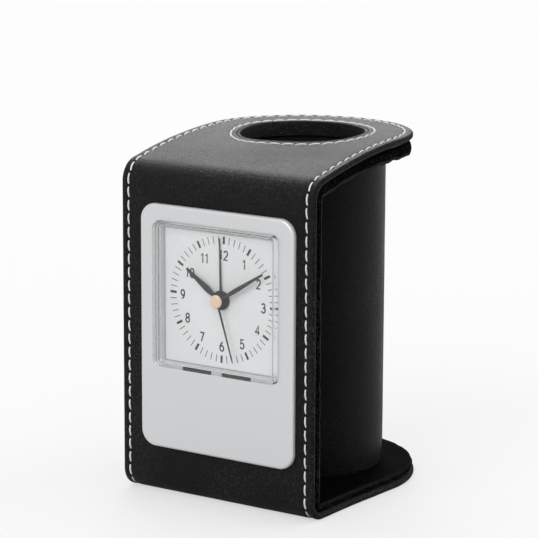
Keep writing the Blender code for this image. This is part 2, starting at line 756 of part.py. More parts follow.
def corners(reach):
    return [beside(DIAL_CENTRE, reach * math.sqrt(2), math.radians(45 + 90 * i)) for i in range(4)]


def bridge_posts():
    left = DIAL_CENTRE[0] + BRIDGE_LEFT + BRIDGE_POST_INSET
    right = DIAL_CENTRE[0] + BRIDGE_RIGHT - BRIDGE_POST_INSET
    bottom = DIAL_CENTRE[1] + BRIDGE_BOTTOM + BRIDGE_POST_INSET
    top = DIAL_CENTRE[1] + BRIDGE_TOP - BRIDGE_POST_INSET
    return [(left, bottom), (right, bottom), (right, top), (left, top)]


def build_case_front(plastic):
    """The front half of the movement case, with the well that holds the dial."""
    outline = rounded_rectangle(CASE_HALF, CASE_HALF, CASE_CORNER)
    rows = [(CASE_FRONT_DEPTH, outline), (CASE_SPLIT_DEPTH, outline)]
    item = loft("movement_front", rows, "Y", DIAL_CENTRE)
    partition = DIAL_DEPTH + DIAL_THICKNESS + RUNNING_GAP
    reach = LENS_HALF - LENS_WALL
    well = rounded_rectangle(reach, reach, LENS_CORNER - LENS_WALL)
    combine(item, loft("movement_well", [(-OVERRUN, well), (partition, well)], "Y", DIAL_CENTRE))
    floor = partition + PARTITION
    inner = rounded_rectangle(CASE_HALF - CASE_WALL, CASE_HALF - CASE_WALL, CASE_CORNER - CASE_WALL)
    hollow = [(floor, inner), (CASE_SPLIT_DEPTH + OVERRUN, inner)]
    combine(item, loft("movement_front_hollow", hollow, "Y", DIAL_CENTRE))
    root = floor - PARTITION / 2
    for index, place in enumerate(corners(SCREW_PLACE)):
        combine(item, rod("front_boss_%d" % index, BOSS_RADIUS, root, CASE_SPLIT_DEPTH, place), "UNION")
        bottom = CASE_SPLIT_DEPTH - SCREW_BITE - SEAT_GAP
        bore(item, SCREW_SHANK + THIN_GAP, bottom, CASE_SPLIT_DEPTH + OVERRUN, place)
    for index, place in enumerate(bridge_posts()):
        post = rod("bridge_post_%d" % index, POST_RADIUS, root, BRIDGE_DEPTH - RUNNING_GAP, place)
        combine(item, post, "UNION")
    for index, place in enumerate(board_posts()):
        post = rod("board_post_%d" % index, POST_RADIUS, root, BOARD_DEPTH - RUNNING_GAP, place)
        combine(item, post, "UNION")
    cell = (DIAL_CENTRE[0] + CELL_X, DIAL_CENTRE[1] + CELL_Z)
    contact = CELL_DEPTH - SEAT_GAP - CONTACT_THICKNESS
    combine(item, rod("cell_post", CONTACT_HALF, root, contact - RUNNING_GAP, cell), "UNION")
    bore(item, CASE_BORE, -OVERRUN, floor + THIN_GAP, DIAL_CENTRE)
    for side in (-1, 1):
        left, right = sorted((side * SLOT_INNER, side * SLOT_OUTER))
        middle = -(CASE_HALF + reach) / 2
        slot = block("sound_slot_%s" % ("left" if side < 0 else "right"), left, right,
                     middle - SLOT_HEIGHT / 2, middle + SLOT_HEIGHT / 2,
                     -OVERRUN, CASE_FRONT_DEPTH + SLOT_DEPTH)
        combine(item, slot)
    dress(item, plastic, smooth=False)


def board_posts():
    height = DIAL_CENTRE[1] + (BOARD_BOTTOM + BOARD_TOP) / 2
    return [(DIAL_CENTRE[0] + board_left() + BOARD_POST_INSET, height),
            (DIAL_CENTRE[0] + BOARD_RIGHT - BOARD_POST_INSET, height)]


def board_left():
    """The board starts beside the cell's side contact."""
    return CELL_X + CELL_RADIUS + SEAT_GAP + CONTACT_THICKNESS + SEAT_GAP


def build_case_rear(plastic):
    """The rear half of the movement case, open for the knobs, the switch and the battery."""
    outline = rounded_rectangle(CASE_HALF, CASE_HALF, CASE_CORNER)
    start = CASE_SPLIT_DEPTH + SEAT_GAP
    item = loft("movement_rear", [(start, outline), (CASE_REAR_DEPTH, outline)], "Y", DIAL_CENTRE)
    inner = rounded_rectangle(CASE_HALF - CASE_WALL, CASE_HALF - CASE_WALL, CASE_CORNER - CASE_WALL)
    wall = CASE_REAR_DEPTH - REAR_WALL
    combine(item, loft("movement_rear_hollow", [(start - OVERRUN, inner), (wall, inner)], "Y", DIAL_CENTRE))
    outside = CASE_REAR_DEPTH + OVERRUN
    head_seat = CASE_REAR_DEPTH - SCREW_HEAD_HEIGHT - THIN_GAP
    for index, place in enumerate(corners(SCREW_PLACE)):
        combine(item, rod("rear_boss_%d" % index, BOSS_RADIUS, start, wall + REAR_WALL / 2, place), "UNION")
        bore(item, SCREW_SHANK + THIN_GAP, start - OVERRUN, outside, place)
        bore(item, SCREW_HEAD + THIN_GAP, head_seat, outside, place)
    for place in (TIME_SET_CENTRE, ALARM_SET_CENTRE):
        bore(item, SHAFT_HOLE, wall - THIN_GAP, outside, place)
    buzzer = (DIAL_CENTRE[0] + BUZZER_X, DIAL_CENTRE[1] + BUZZER_Z)
    bore(item, SOUND_HOLE, wall - THIN_GAP, outside, buzzer)
    for i in range(SOUND_HOLES):
        place = beside(buzzer, SOUND_RING, 2 * math.pi * i / SOUND_HOLES)
        bore(item, SOUND_HOLE, wall - THIN_GAP, outside, place)
    reach = SWITCH_NUB_HALF_X + SWITCH_TRAVEL / 2 + RUNNING_GAP
    rise = SWITCH_NUB_HALF_Z + RUNNING_GAP
    combine(item, block("switch_slot", SWITCH_X - reach, SWITCH_X + reach, SWITCH_Z - rise, SWITCH_Z + rise,
                        wall - THIN_GAP, outside))
    side = DOOR_HALF + RUNNING_GAP
    bottom = -CASE_HALF - OVERRUN
    top = CELL_Z + DOOR_TOP_ABOVE_CELL + RUNNING_GAP
    combine(item, block("door_opening", CELL_X - side, CELL_X + side, bottom, top, wall - THIN_GAP, outside))
    side += TONGUE
    middle = CASE_REAR_DEPTH - REAR_WALL / 2
    groove = TONGUE_THICKNESS / 2 + THIN_GAP
    combine(item, block("door_groove", CELL_X - side, CELL_X + side, bottom, top,
                        middle - groove, middle + groove))
    dress(item, plastic, smooth=False)


def build_door(plastic):
    """The battery door, which slides down out of the rear case on its side tongues."""
    wall = CASE_REAR_DEPTH - REAR_WALL
    bottom = -CASE_HALF + RUNNING_GAP
    top = CELL_Z + DOOR_TOP_ABOVE_CELL
    item = block("battery_door", CELL_X - DOOR_HALF, CELL_X + DOOR_HALF, bottom, top, wall, CASE_REAR_DEPTH)
    middle = CASE_REAR_DEPTH - REAR_WALL / 2
    reach = DOOR_HALF + TONGUE
    tongue = block("door_tongue", CELL_X - reach, CELL_X + reach, bottom + TONGUE, top - TONGUE,
                   middle - TONGUE_THICKNESS / 2, middle + TONGUE_THICKNESS / 2)
    combine(item, tongue, "UNION")
    for i in range(GRIP_RIDGES):
        height = CELL_Z + (i - (GRIP_RIDGES - 1) / 2) * GRIP_PITCH
        ridge = block("grip_ridge_%d" % i, CELL_X - DOOR_HALF / 2, CELL_X + DOOR_HALF / 2,
                      height - GRIP_RIDGE / 2, height + GRIP_RIDGE / 2,
                      middle, CASE_REAR_DEPTH + GRIP_RIDGE / 2)
        combine(item, ridge, "UNION")
    dress(item, plastic, smooth=False)


def build_switch(plastic):
    """The alarm switch, a nub through the rear case on a flange that keeps it in."""
    wall = CASE_REAR_DEPTH - REAR_WALL
    middle = SWITCH_X - SWITCH_TRAVEL / 2
    rear = wall - SEAT_GAP
    item = block("alarm_switch", middle - SWITCH_NUB_HALF_X, middle + SWITCH_NUB_HALF_X,
                 SWITCH_Z - SWITCH_NUB_HALF_Z, SWITCH_Z + SWITCH_NUB_HALF_Z,
                 rear - SWITCH_FLANGE / 2, SWITCH_NUB_END)
    flange = block("switch_flange", middle - SWITCH_FLANGE_X, middle + SWITCH_FLANGE_X,
                   SWITCH_Z - SWITCH_FLANGE_Z, SWITCH_Z + SWITCH_FLANGE_Z, rear - SWITCH_FLANGE, rear)
    combine(item, flange, "UNION")
    dress(item, plastic, smooth=False)


def build_screws():
    steel = finish("screw_steel", (0.55, 0.55, 0.56), 0.35, 1.0)
    for index, place in enumerate(corners(SCREW_PLACE)):
        top = CASE_REAR_DEPTH - SCREW_HEAD_HEIGHT
        item = rod("case_screw_%d" % (index + 1), SCREW_HEAD, top, CASE_REAR_DEPTH, place)
        shank = rod("screw_shank_%d" % index, SCREW_SHANK, CASE_SPLIT_DEPTH - SCREW_BITE,
                    CASE_REAR_DEPTH - SCREW_HEAD_HEIGHT / 2, place)
        combine(item, shank, "UNION")
        floor = CASE_REAR_DEPTH - SCREW_RECESS_DEPTH
        reach = SCREW_HEAD * SCREW_RECESS_SHARE
        half = SCREW_RECESS_WIDTH / 2
        for half_width, half_height in ((reach, half), (half, reach)):
            outline = rectangle(-half_width, half_width, -half_height, half_height)
            rows = [(floor, outline), (CASE_REAR_DEPTH + OVERRUN, outline)]
            combine(item, loft("screw_recess", rows, "Y", place))
        dress(item, steel, smooth=False)


def build_bridge(plastic):
    """The middle plate that carries the train."""
    end = BRIDGE_DEPTH + BRIDGE_THICKNESS
    item = block("middle_plate", BRIDGE_LEFT, BRIDGE_RIGHT, BRIDGE_BOTTOM, BRIDGE_TOP, BRIDGE_DEPTH, end)
    for place, radius in ((DIAL_CENTRE, ARBOR_HOLE), (THIRD_CENTRE, ARBOR_HOLE),
                          (TIME_SET_CENTRE, SHAFT_HOLE), (ALARM_SET_CENTRE, SHAFT_HOLE)):
        bore(item, radius, BRIDGE_DEPTH - OVERRUN, end + OVERRUN, place)
    dress(item, plastic, smooth=False)


def build_train():
    """The wheels from the motor to the second hand and on to the centre wheel."""
    nylon = finish("wheel_nylon", (0.80, 0.80, 0.76), 0.5)
    steel = finish("arbor_steel", (0.60, 0.60, 0.61), 0.3, 1.0)
    seconds = rod("seconds_wheel", ARBOR, SECOND_HAND_DEPTH, ARBOR_REAR, DIAL_CENTRE)
    combine(seconds, toothed("seconds_teeth", SECONDS_TEETH, INTERMEDIATE_MODULE, 0.0, SECONDS_WHEEL_DEPTH,
                             WHEEL_THICKNESS, DIAL_CENTRE), "UNION")
    combine(seconds, toothed("seconds_leaves", SECONDS_PINION_TEETH, THIRD_MODULE, 0.0,
                             THIRD_WHEEL_DEPTH - PINION_LEAD, PINION_LENGTH, DIAL_CENTRE), "UNION")
    dress(seconds, steel, smooth=False)

    phase = meshing_phase(THIRD_DIRECTION, 0.0, SECONDS_PINION_TEETH, THIRD_TEETH)
    third_front = CENTRE_WHEEL_DEPTH - PINION_LEAD
    third = rod("third_wheel", ARBOR, third_front - PINION_LEAD, ARBOR_REAR, THIRD_CENTRE)
    combine(third, toothed("third_teeth", THIRD_TEETH, THIRD_MODULE, phase, THIRD_WHEEL_DEPTH,
                           WHEEL_THICKNESS, THIRD_CENTRE), "UNION")
    combine(third, toothed("third_leaves", THIRD_PINION_TEETH, CENTRE_MODULE, 0.0, third_front, PINION_LENGTH,
                           THIRD_CENTRE), "UNION")
    dress(third, nylon, smooth=False)

    phase = meshing_phase(THIRD_DIRECTION + math.pi, 0.0, THIRD_PINION_TEETH, CENTRE_TEETH)
    centre = toothed("centre_wheel", CENTRE_TEETH, CENTRE_MODULE, phase, CENTRE_WHEEL_DEPTH, WHEEL_THICKNESS,
                     DIAL_CENTRE)
    bore(centre, MINUTE_PIPE + THIN_GAP, CENTRE_WHEEL_DEPTH - OVERRUN, CENTRE_WHEEL_DEPTH + OVERRUN,
         DIAL_CENTRE)
    dress(centre, nylon, smooth=False)

    phase = meshing_phase(INTERMEDIATE_DIRECTION, 0.0, SECONDS_TEETH, INTERMEDIATE_PINION_TEETH)
    middle = rod("intermediate_wheel", ARBOR, ARBOR_FRONT, ARBOR_REAR, INTERMEDIATE_CENTRE)
    combine(middle, toothed("intermediate_leaves", INTERMEDIATE_PINION_TEETH, INTERMEDIATE_MODULE, phase,
                            SECONDS_WHEEL_DEPTH - PINION_LEAD, PINION_LENGTH, INTERMEDIATE_CENTRE), "UNION")
    combine(middle, toothed("intermediate_teeth", INTERMEDIATE_TEETH, ROTOR_MODULE, 0.0,
                            INTERMEDIATE_WHEEL_DEPTH, WHEEL_THICKNESS, INTERMEDIATE_CENTRE), "UNION")
    dress(middle, nylon, smooth=False)

    phase = meshing_phase(ROTOR_DIRECTION, 0.0, INTERMEDIATE_TEETH, ROTOR_PINION_TEETH)
    rotor = rod("rotor_pinion", ARBOR, ARBOR_FRONT, ARBOR_REAR, ROTOR_CENTRE)
    combine(rotor, toothed("rotor_leaves", ROTOR_PINION_TEETH, ROTOR_MODULE, phase,
                           INTERMEDIATE_WHEEL_DEPTH - PINION_LEAD, PINION_LENGTH, ROTOR_CENTRE), "UNION")
    dress(rotor, nylon, smooth=False)
    magnet = rod("rotor_magnet", MAGNET_RADIUS, MAGNET_DEPTH, MAGNET_DEPTH + MAGNET_LENGTH, ROTOR_CENTRE)
    bore(magnet, ARBOR + HAND_FIT, MAGNET_DEPTH - OVERRUN, MAGNET_DEPTH + OVERRUN, ROTOR_CENTRE)
    dress(magnet, finish("magnet_grey", (0.12, 0.12, 0.13), 0.4, 0.8))


def pipe(item, inner, start, end):
    return bore(item, inner, start - OVERRUN, end + OVERRUN, DIAL_CENTRE)


def build_motion_work():
    """The pipes under the hands, the motion wheel and the two setting shafts."""
    nylon = finish("pipe_nylon", (0.78, 0.78, 0.74), 0.5)
    start = MINUTE_HAND_DEPTH - HAND_END_GAP
    end = CENTRE_WHEEL_DEPTH + WHEEL_THICKNESS + RUNNING_GAP
    minute = rod("minute_pinion", MINUTE_PIPE, start, end, DIAL_CENTRE)
    combine(minute, toothed("minute_leaves", MINUTE_PINION_TEETH, MOTION_MODULE, 0.0,
                            MOTION_WHEEL_DEPTH - PINION_LEAD, WHEEL_THICKNESS + PINION_LEAD,
                            DIAL_CENTRE), "UNION")
    dress(pipe(minute, MINUTE_BORE, start, end), nylon, smooth=False)

    phase = meshing_phase(MOTION_DIRECTION, 0.0, MINUTE_PINION_TEETH, MOTION_TEETH)
    front = HOUR_WHEEL_DEPTH - PINION_LEAD
    motion = rod("motion_wheel", ARBOR, front - PINION_LEAD, end, MOTION_CENTRE)
    combine(motion, toothed("motion_teeth", MOTION_TEETH, MOTION_MODULE, phase, MOTION_WHEEL_DEPTH,
                            WHEEL_THICKNESS, MOTION_CENTRE), "UNION")
    combine(motion, toothed("motion_leaves", MOTION_PINION_TEETH, MOTION_MODULE, 0.0, front,
                            MOTION_WHEEL_DEPTH - front + THIN_GAP, MOTION_CENTRE), "UNION")
    dress(motion, nylon, smooth=False)

    time_phase = meshing_phase(MOTION_DIRECTION, phase, MOTION_TEETH, TIME_PINION_TEETH)
    shaft = rod("time_set_shaft", SHAFT, MOTION_WHEEL_DEPTH - PINION_LEAD, SHAFT_END_DEPTH, TIME_SET_CENTRE)
    combine(shaft, toothed("time_set_leaves", TIME_PINION_TEETH, MOTION_MODULE, time_phase,
                           MOTION_WHEEL_DEPTH - PINION_LEAD, PINION_LENGTH, TIME_SET_CENTRE), "UNION")
    dress(shaft, nylon, smooth=False)

    phase = meshing_phase(MOTION_DIRECTION + math.pi, 0.0, MOTION_PINION_TEETH, HOUR_TEETH)
    start = HOUR_HAND_DEPTH - HAND_END_GAP
    end = HOUR_WHEEL_DEPTH + WHEEL_THICKNESS
    hour = rod("hour_wheel", HOUR_PIPE, start, end, DIAL_CENTRE)
    combine(hour, toothed("hour_teeth", HOUR_TEETH, MOTION_MODULE, phase, HOUR_WHEEL_DEPTH, WHEEL_THICKNESS,
                          DIAL_CENTRE), "UNION")
    dress(pipe(hour, HOUR_BORE, start, end), nylon, smooth=False)

    start = ALARM_HAND_DEPTH - HAND_END_GAP
    end = ALARM_WHEEL_DEPTH + WHEEL_THICKNESS
    alarm = rod("alarm_wheel", ALARM_PIPE, start, end, DIAL_CENTRE)
    combine(alarm, toothed("alarm_teeth", ALARM_TEETH, ALARM_MODULE, 0.0, ALARM_WHEEL_DEPTH, WHEEL_THICKNESS,
                           DIAL_CENTRE), "UNION")
    dress(pipe(alarm, ALARM_BORE, start, end), nylon, smooth=False)

    phase = meshing_phase(ALARM_DIRECTION, 0.0, ALARM_TEETH, ALARM_PINION_TEETH)
    front = ALARM_WHEEL_DEPTH - THIN_GAP
    shaft = rod("alarm_set_shaft", SHAFT, front, SHAFT_END_DEPTH, ALARM_SET_CENTRE)
    combine(shaft, toothed("alarm_set_leaves", ALARM_PINION_TEETH, ALARM_MODULE, phase, front, PINION_LENGTH,
                           ALARM_SET_CENTRE), "UNION")
    dress(shaft, nylon, smooth=False)


def build_knobs(plastic):
    for name, place in (("time_set_knob", TIME_SET_CENTRE), ("alarm_set_knob", ALARM_SET_CENTRE)):
        end = KNOB_DEPTH + KNOB_LENGTH
        rows = [(KNOB_DEPTH, ribbed_outline(KNOB_RADIUS, KNOB_RIBS, KNOB_RIB)),
                (end - KNOB_RIB, ribbed_outline(KNOB_RADIUS, KNOB_RIBS, KNOB_RIB)),
                (end, ribbed_outline(KNOB_RADIUS - KNOB_RIB, KNOB_RIBS, KNOB_RIB))]
        item = loft(name, rows, "Y", place)
        bore(item, SHAFT + HAND_FIT, KNOB_DEPTH - OVERRUN, SHAFT_END_DEPTH + THIN_GAP, place)
        dress(item, plastic, smooth=False)


def build_motor():
    """Stator, core, bobbin and winding of the stepping motor."""
    steel = finish("stator_steel", (0.42, 0.42, 0.43), 0.4, 1.0)
    x = ROTOR_CENTRE[0] - DIAL_CENTRE[0]
    z = ROTOR_CENTRE[1] - DIAL_CENTRE[1]
    coil_z = z + COIL_ABOVE_ROTOR
    stator = block("stator", x - STATOR_HALF_WIDTH, x + STATOR_HALF_WIDTH, z - STATOR_BELOW_ROTOR,
                   coil_z + STATOR_LEG / 2, STATOR_DEPTH, STATOR_DEPTH + STATOR_THICKNESS)
    bore(stator, STATOR_HOLE, STATOR_DEPTH - OVERRUN, STATOR_DEPTH + OVERRUN, ROTOR_CENTRE, DISC_SEGMENTS)
    gap = STATOR_HALF_WIDTH - STATOR_LEG
    combine(stator, block("stator_window", x - gap, x + gap, z + STATOR_HOLE + STATOR_BRIDGE,
                          coil_z + OVERRUN, STATOR_DEPTH - OVERRUN, STATOR_DEPTH + OVERRUN))
    dress(stator, steel, smooth=False)
    reach = STATOR_HALF_WIDTH - COIL_CORE_INSET
    core = block("coil_core", x - reach, x + reach, coil_z - COIL_CORE_HALF, coil_z + COIL_CORE_HALF,
                 COIL_DEPTH - COIL_CORE_HALF, COIL_DEPTH + COIL_CORE_HALF)
    dress(core, steel, smooth=False)
    place = (COIL_DEPTH, DIAL_CENTRE[1] + coil_z)
    middle = ROTOR_CENTRE[0]
    half = gap - RUNNING_GAP
    flange = half - FLANGE_THICKNESS
    shapes = ((-half, BOBBIN_FLANGE), (-flange, BOBBIN_FLANGE), (-flange, BOBBIN_BARREL),
              (flange, BOBBIN_BARREL), (flange, BOBBIN_FLANGE), (half, BOBBIN_FLANGE))
    rows = [(middle + at, circle(radius, FINE_SEGMENTS)) for at, radius in shapes]
    bobbin = loft("coil_bobbin", rows, "X", place)
    hole = circle(BOBBIN_BORE, FINE_SEGMENTS)
    combine(bobbin, loft("bobbin_bore", [(middle - gap, hole), (middle + gap, hole)], "X", place))
    dress(bobbin, finish("bobbin_nylon", (0.75, 0.72, 0.62), 0.5), smooth=False)
    span = half - FLANGE_THICKNESS - THIN_GAP
    turns = circle(WINDING_RADIUS, FINE_SEGMENTS)
    winding = loft("coil_winding", [(middle - span, turns), (middle + span, turns)], "X", place)
    hole = circle(BOBBIN_BARREL + THIN_GAP, FINE_SEGMENTS)
    combine(winding, loft("winding_bore", [(middle - gap, hole), (middle + gap, hole)], "X", place))
    dress(winding, finish("copper_wire", (0.72, 0.30, 0.15), 0.35, 1.0))


def build_electrics():
    """Button cell, contacts, circuit board and buzzer."""
    steel = finish("cell_steel", (0.70, 0.70, 0.71), 0.25, 1.0)
    brass = finish("contact_brass", (0.72, 0.56, 0.28), 0.35, 1.0)
    cell_end = CASE_REAR_DEPTH - REAR_WALL - SEAT_GAP
    place = (DIAL_CENTRE[0] + CELL_X, DIAL_CENTRE[1] + CELL_Z)
    rows = [(CELL_DEPTH, circle(CELL_RADIUS - CELL_RIM, DISC_SEGMENTS)),
            (CELL_DEPTH + CELL_RIM, circle(CELL_RADIUS, DISC_SEGMENTS)),
            (cell_end, circle(CELL_RADIUS, DISC_SEGMENTS))]
    dress(loft("button_cell", rows, "Y", place), steel)
    start = CELL_DEPTH - SEAT_GAP - CONTACT_THICKNESS
    front = block("cell_contact_front", CELL_X - CELL_RADIUS / 2, CELL_X + CELL_RADIUS / 2,
                  CELL_Z - CONTACT_HALF, CELL_Z + CONTACT_HALF, start, start + CONTACT_THICKNESS)
    dress(front, brass, smooth=False)
    left = CELL_X + CELL_RADIUS + SEAT_GAP
    side = block("cell_contact_side", left, left + CONTACT_THICKNESS,
                 CELL_Z - CONTACT_HALF, CELL_Z + CONTACT_HALF, CELL_DEPTH, cell_end)
    dress(side, brass, smooth=False)
    board_end = BOARD_DEPTH + BOARD_THICKNESS
    plate = block("circuit_board", board_left(), BOARD_RIGHT, BOARD_BOTTOM, BOARD_TOP, BOARD_DEPTH, board_end)
    dress(plate, finish("board_green", (0.03, 0.16, 0.07), 0.5), smooth=False)
    height = (BOARD_BOTTOM + BOARD_TOP) / 2
    place = (DIAL_CENTRE[0] + CHIP_X, DIAL_CENTRE[1] + height)
    start = board_end + RUNNING_GAP
    rows = [(start, circle(CHIP_RADIUS, FINE_SEGMENTS)),
            (start + CHIP_HEIGHT / 2, circle(CHIP_RADIUS * CHIP_SHOULDER_SHARE, FINE_SEGMENTS)),
            (start + CHIP_HEIGHT, circle(CHIP_RADIUS / 2, FINE_SEGMENTS))]
    dress(loft("clock_chip", rows, "Y", place), finish("chip_black", (0.015, 0.015, 0.015), 0.4))
    outline = circle(CRYSTAL_RADIUS, FINE_SEGMENTS)
    place = (start + CRYSTAL_RADIUS, DIAL_CENTRE[1] + height)
    middle = DIAL_CENTRE[0] + CRYSTAL_X
    crystal = loft("quartz_crystal", [(middle - CRYSTAL_HALF, outline), (middle + CRYSTAL_HALF, outline)],
                   "X", place)
    dress(crystal, steel)
    place = (DIAL_CENTRE[0] + BUZZER_X, DIAL_CENTRE[1] + BUZZER_Z)
    buzzer = rod("buzzer_disc", BUZZER_RADIUS, cell_end - BUZZER_THICKNESS, cell_end, place, DISC_SEGMENTS)
    dress(buzzer, brass)


DIAL_CENTRE = (CLOCK_SIDE, DIAL_HEIGHT)
THIRD_CENTRE = beside(DIAL_CENTRE, THIRD_DISTANCE, THIRD_DIRECTION)
INTERMEDIATE_CENTRE = beside(DIAL_CENTRE, INTERMEDIATE_DISTANCE, INTERMEDIATE_DIRECTION)
ROTOR_CENTRE = beside(INTERMEDIATE_CENTRE, ROTOR_DISTANCE, ROTOR_DIRECTION)
MOTION_CENTRE = beside(DIAL_CENTRE, MOTION_DISTANCE, MOTION_DIRECTION)
TIME_SET_CENTRE = beside(MOTION_CENTRE, TIME_SET_DISTANCE, MOTION_DIRECTION)
ALARM_SET_CENTRE = beside(DIAL_CENTRE, ALARM_DISTANCE, ALARM_DIRECTION)


def main():
    clear_scene()
    plastic = finish("case_black", (0.025, 0.025, 0.027), 0.45)
    build_holder()
    build_cup()
    build_face()
    build_hands()
    build_case_front(finish("case_grey", (0.60, 0.61, 0.62), 0.5))
    build_case_rear(plastic)
    build_bridge(plastic)
    build_door(plastic)
    build_switch(finish("switch_grey", (0.30, 0.30, 0.31), 0.5))
    build_screws()
    build_train()
    build_motion_work()
    build_knobs(plastic)
    build_motor()
    build_electrics()


if __name__ == "__main__":
    main()
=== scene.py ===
"""The finish of a desk pen holder with an alarm clock in its front.

Units are metres. The clock faces -Y and +Z is up. A depth is measured backwards
from the leather face of the front panel. A run is measured along the panel's outer
line, from the rear of the base, up the front and back to the rear of the top.
"""
import json
import math

import bmesh
import bpy
import numpy as np
from bpy.props import FloatProperty, FloatVectorProperty, IntProperty, PointerProperty
from bpy.types import Operator, Panel, PropertyGroup
from mathutils import Matrix, Vector, geometry, noise

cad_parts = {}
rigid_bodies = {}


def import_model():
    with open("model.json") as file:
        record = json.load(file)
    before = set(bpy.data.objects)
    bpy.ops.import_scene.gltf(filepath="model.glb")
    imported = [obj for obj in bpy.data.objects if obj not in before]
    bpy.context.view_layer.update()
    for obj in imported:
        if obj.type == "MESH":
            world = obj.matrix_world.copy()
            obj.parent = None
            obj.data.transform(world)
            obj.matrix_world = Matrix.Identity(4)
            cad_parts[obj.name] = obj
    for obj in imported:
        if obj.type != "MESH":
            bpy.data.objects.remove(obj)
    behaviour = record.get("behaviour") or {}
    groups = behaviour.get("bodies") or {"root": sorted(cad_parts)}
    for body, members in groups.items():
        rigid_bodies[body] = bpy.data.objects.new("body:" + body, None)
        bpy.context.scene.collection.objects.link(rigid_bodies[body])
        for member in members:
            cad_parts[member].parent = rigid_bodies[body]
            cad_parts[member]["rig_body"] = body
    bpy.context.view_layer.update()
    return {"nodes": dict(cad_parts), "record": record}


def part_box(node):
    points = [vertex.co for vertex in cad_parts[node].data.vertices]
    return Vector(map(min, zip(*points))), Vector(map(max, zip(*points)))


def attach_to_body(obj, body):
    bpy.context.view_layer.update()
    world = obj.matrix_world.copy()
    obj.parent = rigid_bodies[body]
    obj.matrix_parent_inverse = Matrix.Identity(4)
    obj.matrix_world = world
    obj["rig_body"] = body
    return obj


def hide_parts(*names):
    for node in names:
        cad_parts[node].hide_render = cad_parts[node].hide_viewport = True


bl_info = {
    "name": "Pen Holder Clock Finish",
    "version": (1, 0, 0),
    "blender": (4, 5, 0),
    "location": "3D View > Sidebar > Pen Holder",
    "description": "Leather, stitching, metal face, lens, dial and movement of a pen holder clock",
    "category": "Object",
}

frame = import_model()
NODES = frame["nodes"]
SLOTS = {item["node"]: item["material_slot"] for item in frame["record"]["subparts"]}
COVER_LOW, COVER_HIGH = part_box("outer_cover")
CUP_LOW, CUP_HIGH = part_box("cup_cover")
DIAL_LOW, DIAL_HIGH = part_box("dial")
PLATE_LOW, PLATE_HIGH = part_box("face_plate")
LENS_LOW, LENS_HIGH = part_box("lens")
CASE_LOW, CASE_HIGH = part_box("movement_front")
BINDING_LOW, BINDING_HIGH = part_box("hole_binding")

FRONT_Y = COVER_LOW.y
HEIGHT = COVER_HIGH.z
CUP_SETBACK = (CUP_LOW.y + CUP_HIGH.y) / 2 - FRONT_Y
CUP_RADIUS = (CUP_HIGH.x - CUP_LOW.x) / 2
BINDING_RADIUS = (BINDING_HIGH.x - BINDING_LOW.x) / 2
LENS_HALF = (LENS_HIGH.x - LENS_LOW.x) / 2
CLOCK = ((DIAL_LOW.x + DIAL_HIGH.x) / 2, (DIAL_LOW.z + DIAL_HIGH.z) / 2)
MILLIMETRE = 0.001


def size(name, description, default):
    """A length that a user may change."""
    return FloatProperty(name=name, description=description, default=default, min=0.0,
                         precision=5, unit="LENGTH")


def colour(name, description, default):
    """A colour, given as linear light."""
    return FloatVectorProperty(name=name, description=description, default=default, size=3,
                               min=0.0, max=1.0, subtype="COLOR")


class PanelSizes(PropertyGroup):
    """The bent leather panel."""

    width: size("Width", "Width of the upright front", 0.0640)
    base_end: size("Base end radius", "Radius of the base's round end", 0.0329)
    top_end: size("Top end radius", "Radius of the top's round end", 0.0313)
    taper_start: size("Taper start", "Depth at which the sides leave the straight", 0.0200)
    top_rise: size("Top rise", "How far the top climbs to the rear", 0.0070)
    arch_length: size("Arch length", "Depth over which the top climbs", 0.0516)
    top_corner: size("Top corner", "Outer radius of the bend at the top", 0.0065)
    base_corner: size("Base corner", "Outer radius of the bend at the base", 0.0056)
    outer_layer: size("Outer layer", "Thickness of the outer leather layer", 0.0019)
    glue_gap: size("Glue gap", "Groove between the two layers", 0.0002)
    inner_layer: size("Inner layer", "Thickness of the inner layer at the base and top", 0.0021)
    front_inner_layer: size("Front inner layer", "Thickness of that layer in the front", 0.0033)
    layer_step: size("Layer step", "How far the inner layer stands back at the edge", 0.0004)
    edge_round: size("Edge round", "Radius of the turned leather edge", 0.00085)
    binding: size("Binding", "Thickness of the leather turned in round the hole", 0.0009)
    bulge: size("Bulge", "How far the leather rises in front of the hole", 0.0012)
    bulge_reach: size("Bulge reach", "How far that rise spreads", 0.0130)
    hem: size("Hem", "Extra thickness of the inner layer's turned edge along the top", 0.0014)
    hem_reach: size("Hem reach", "How far in from the edge that thickness fades", 0.0055)
    lip: size("Lip", "How far the two layers part at the rear of the top", 0.0009)
    rough_edge: size("Rough edge", "Unevenness of the inner layer's edge", 0.0005)
    pebble: size("Pebble", "Size of the leather's grain", 0.0006)
    sag: size("Sag", "Slow unevenness of the leather's surface", 0.00008)


class StitchSizes(PropertyGroup):
    """The stitching along the edges and round the hole."""

    pitch: size("Pitch", "From stitch to stitch", 0.0038)
    length: size("Length", "Length of one stitch along the edges", 0.0028)
    hole_length: size("Hole length", "Length of one stitch round the hole", 0.0034)
    thread: size("Thread", "Thickness of the thread", 0.00050)
    inset: size("Inset", "From the edge of the leather to the stitching", 0.0024)
    hole_inset: size("Hole inset", "From the rim of the hole to the stitching", 0.0027)
    sink: size("Sink", "Depth of the furrow that the thread pulls into the leather", 0.00022)
    furrow: size("Furrow", "Width of that furrow", 0.0013)
    slant: FloatProperty(name="Slant", description="Turn of each stitch out of the line",
                         default=math.radians(4), subtype="ANGLE")


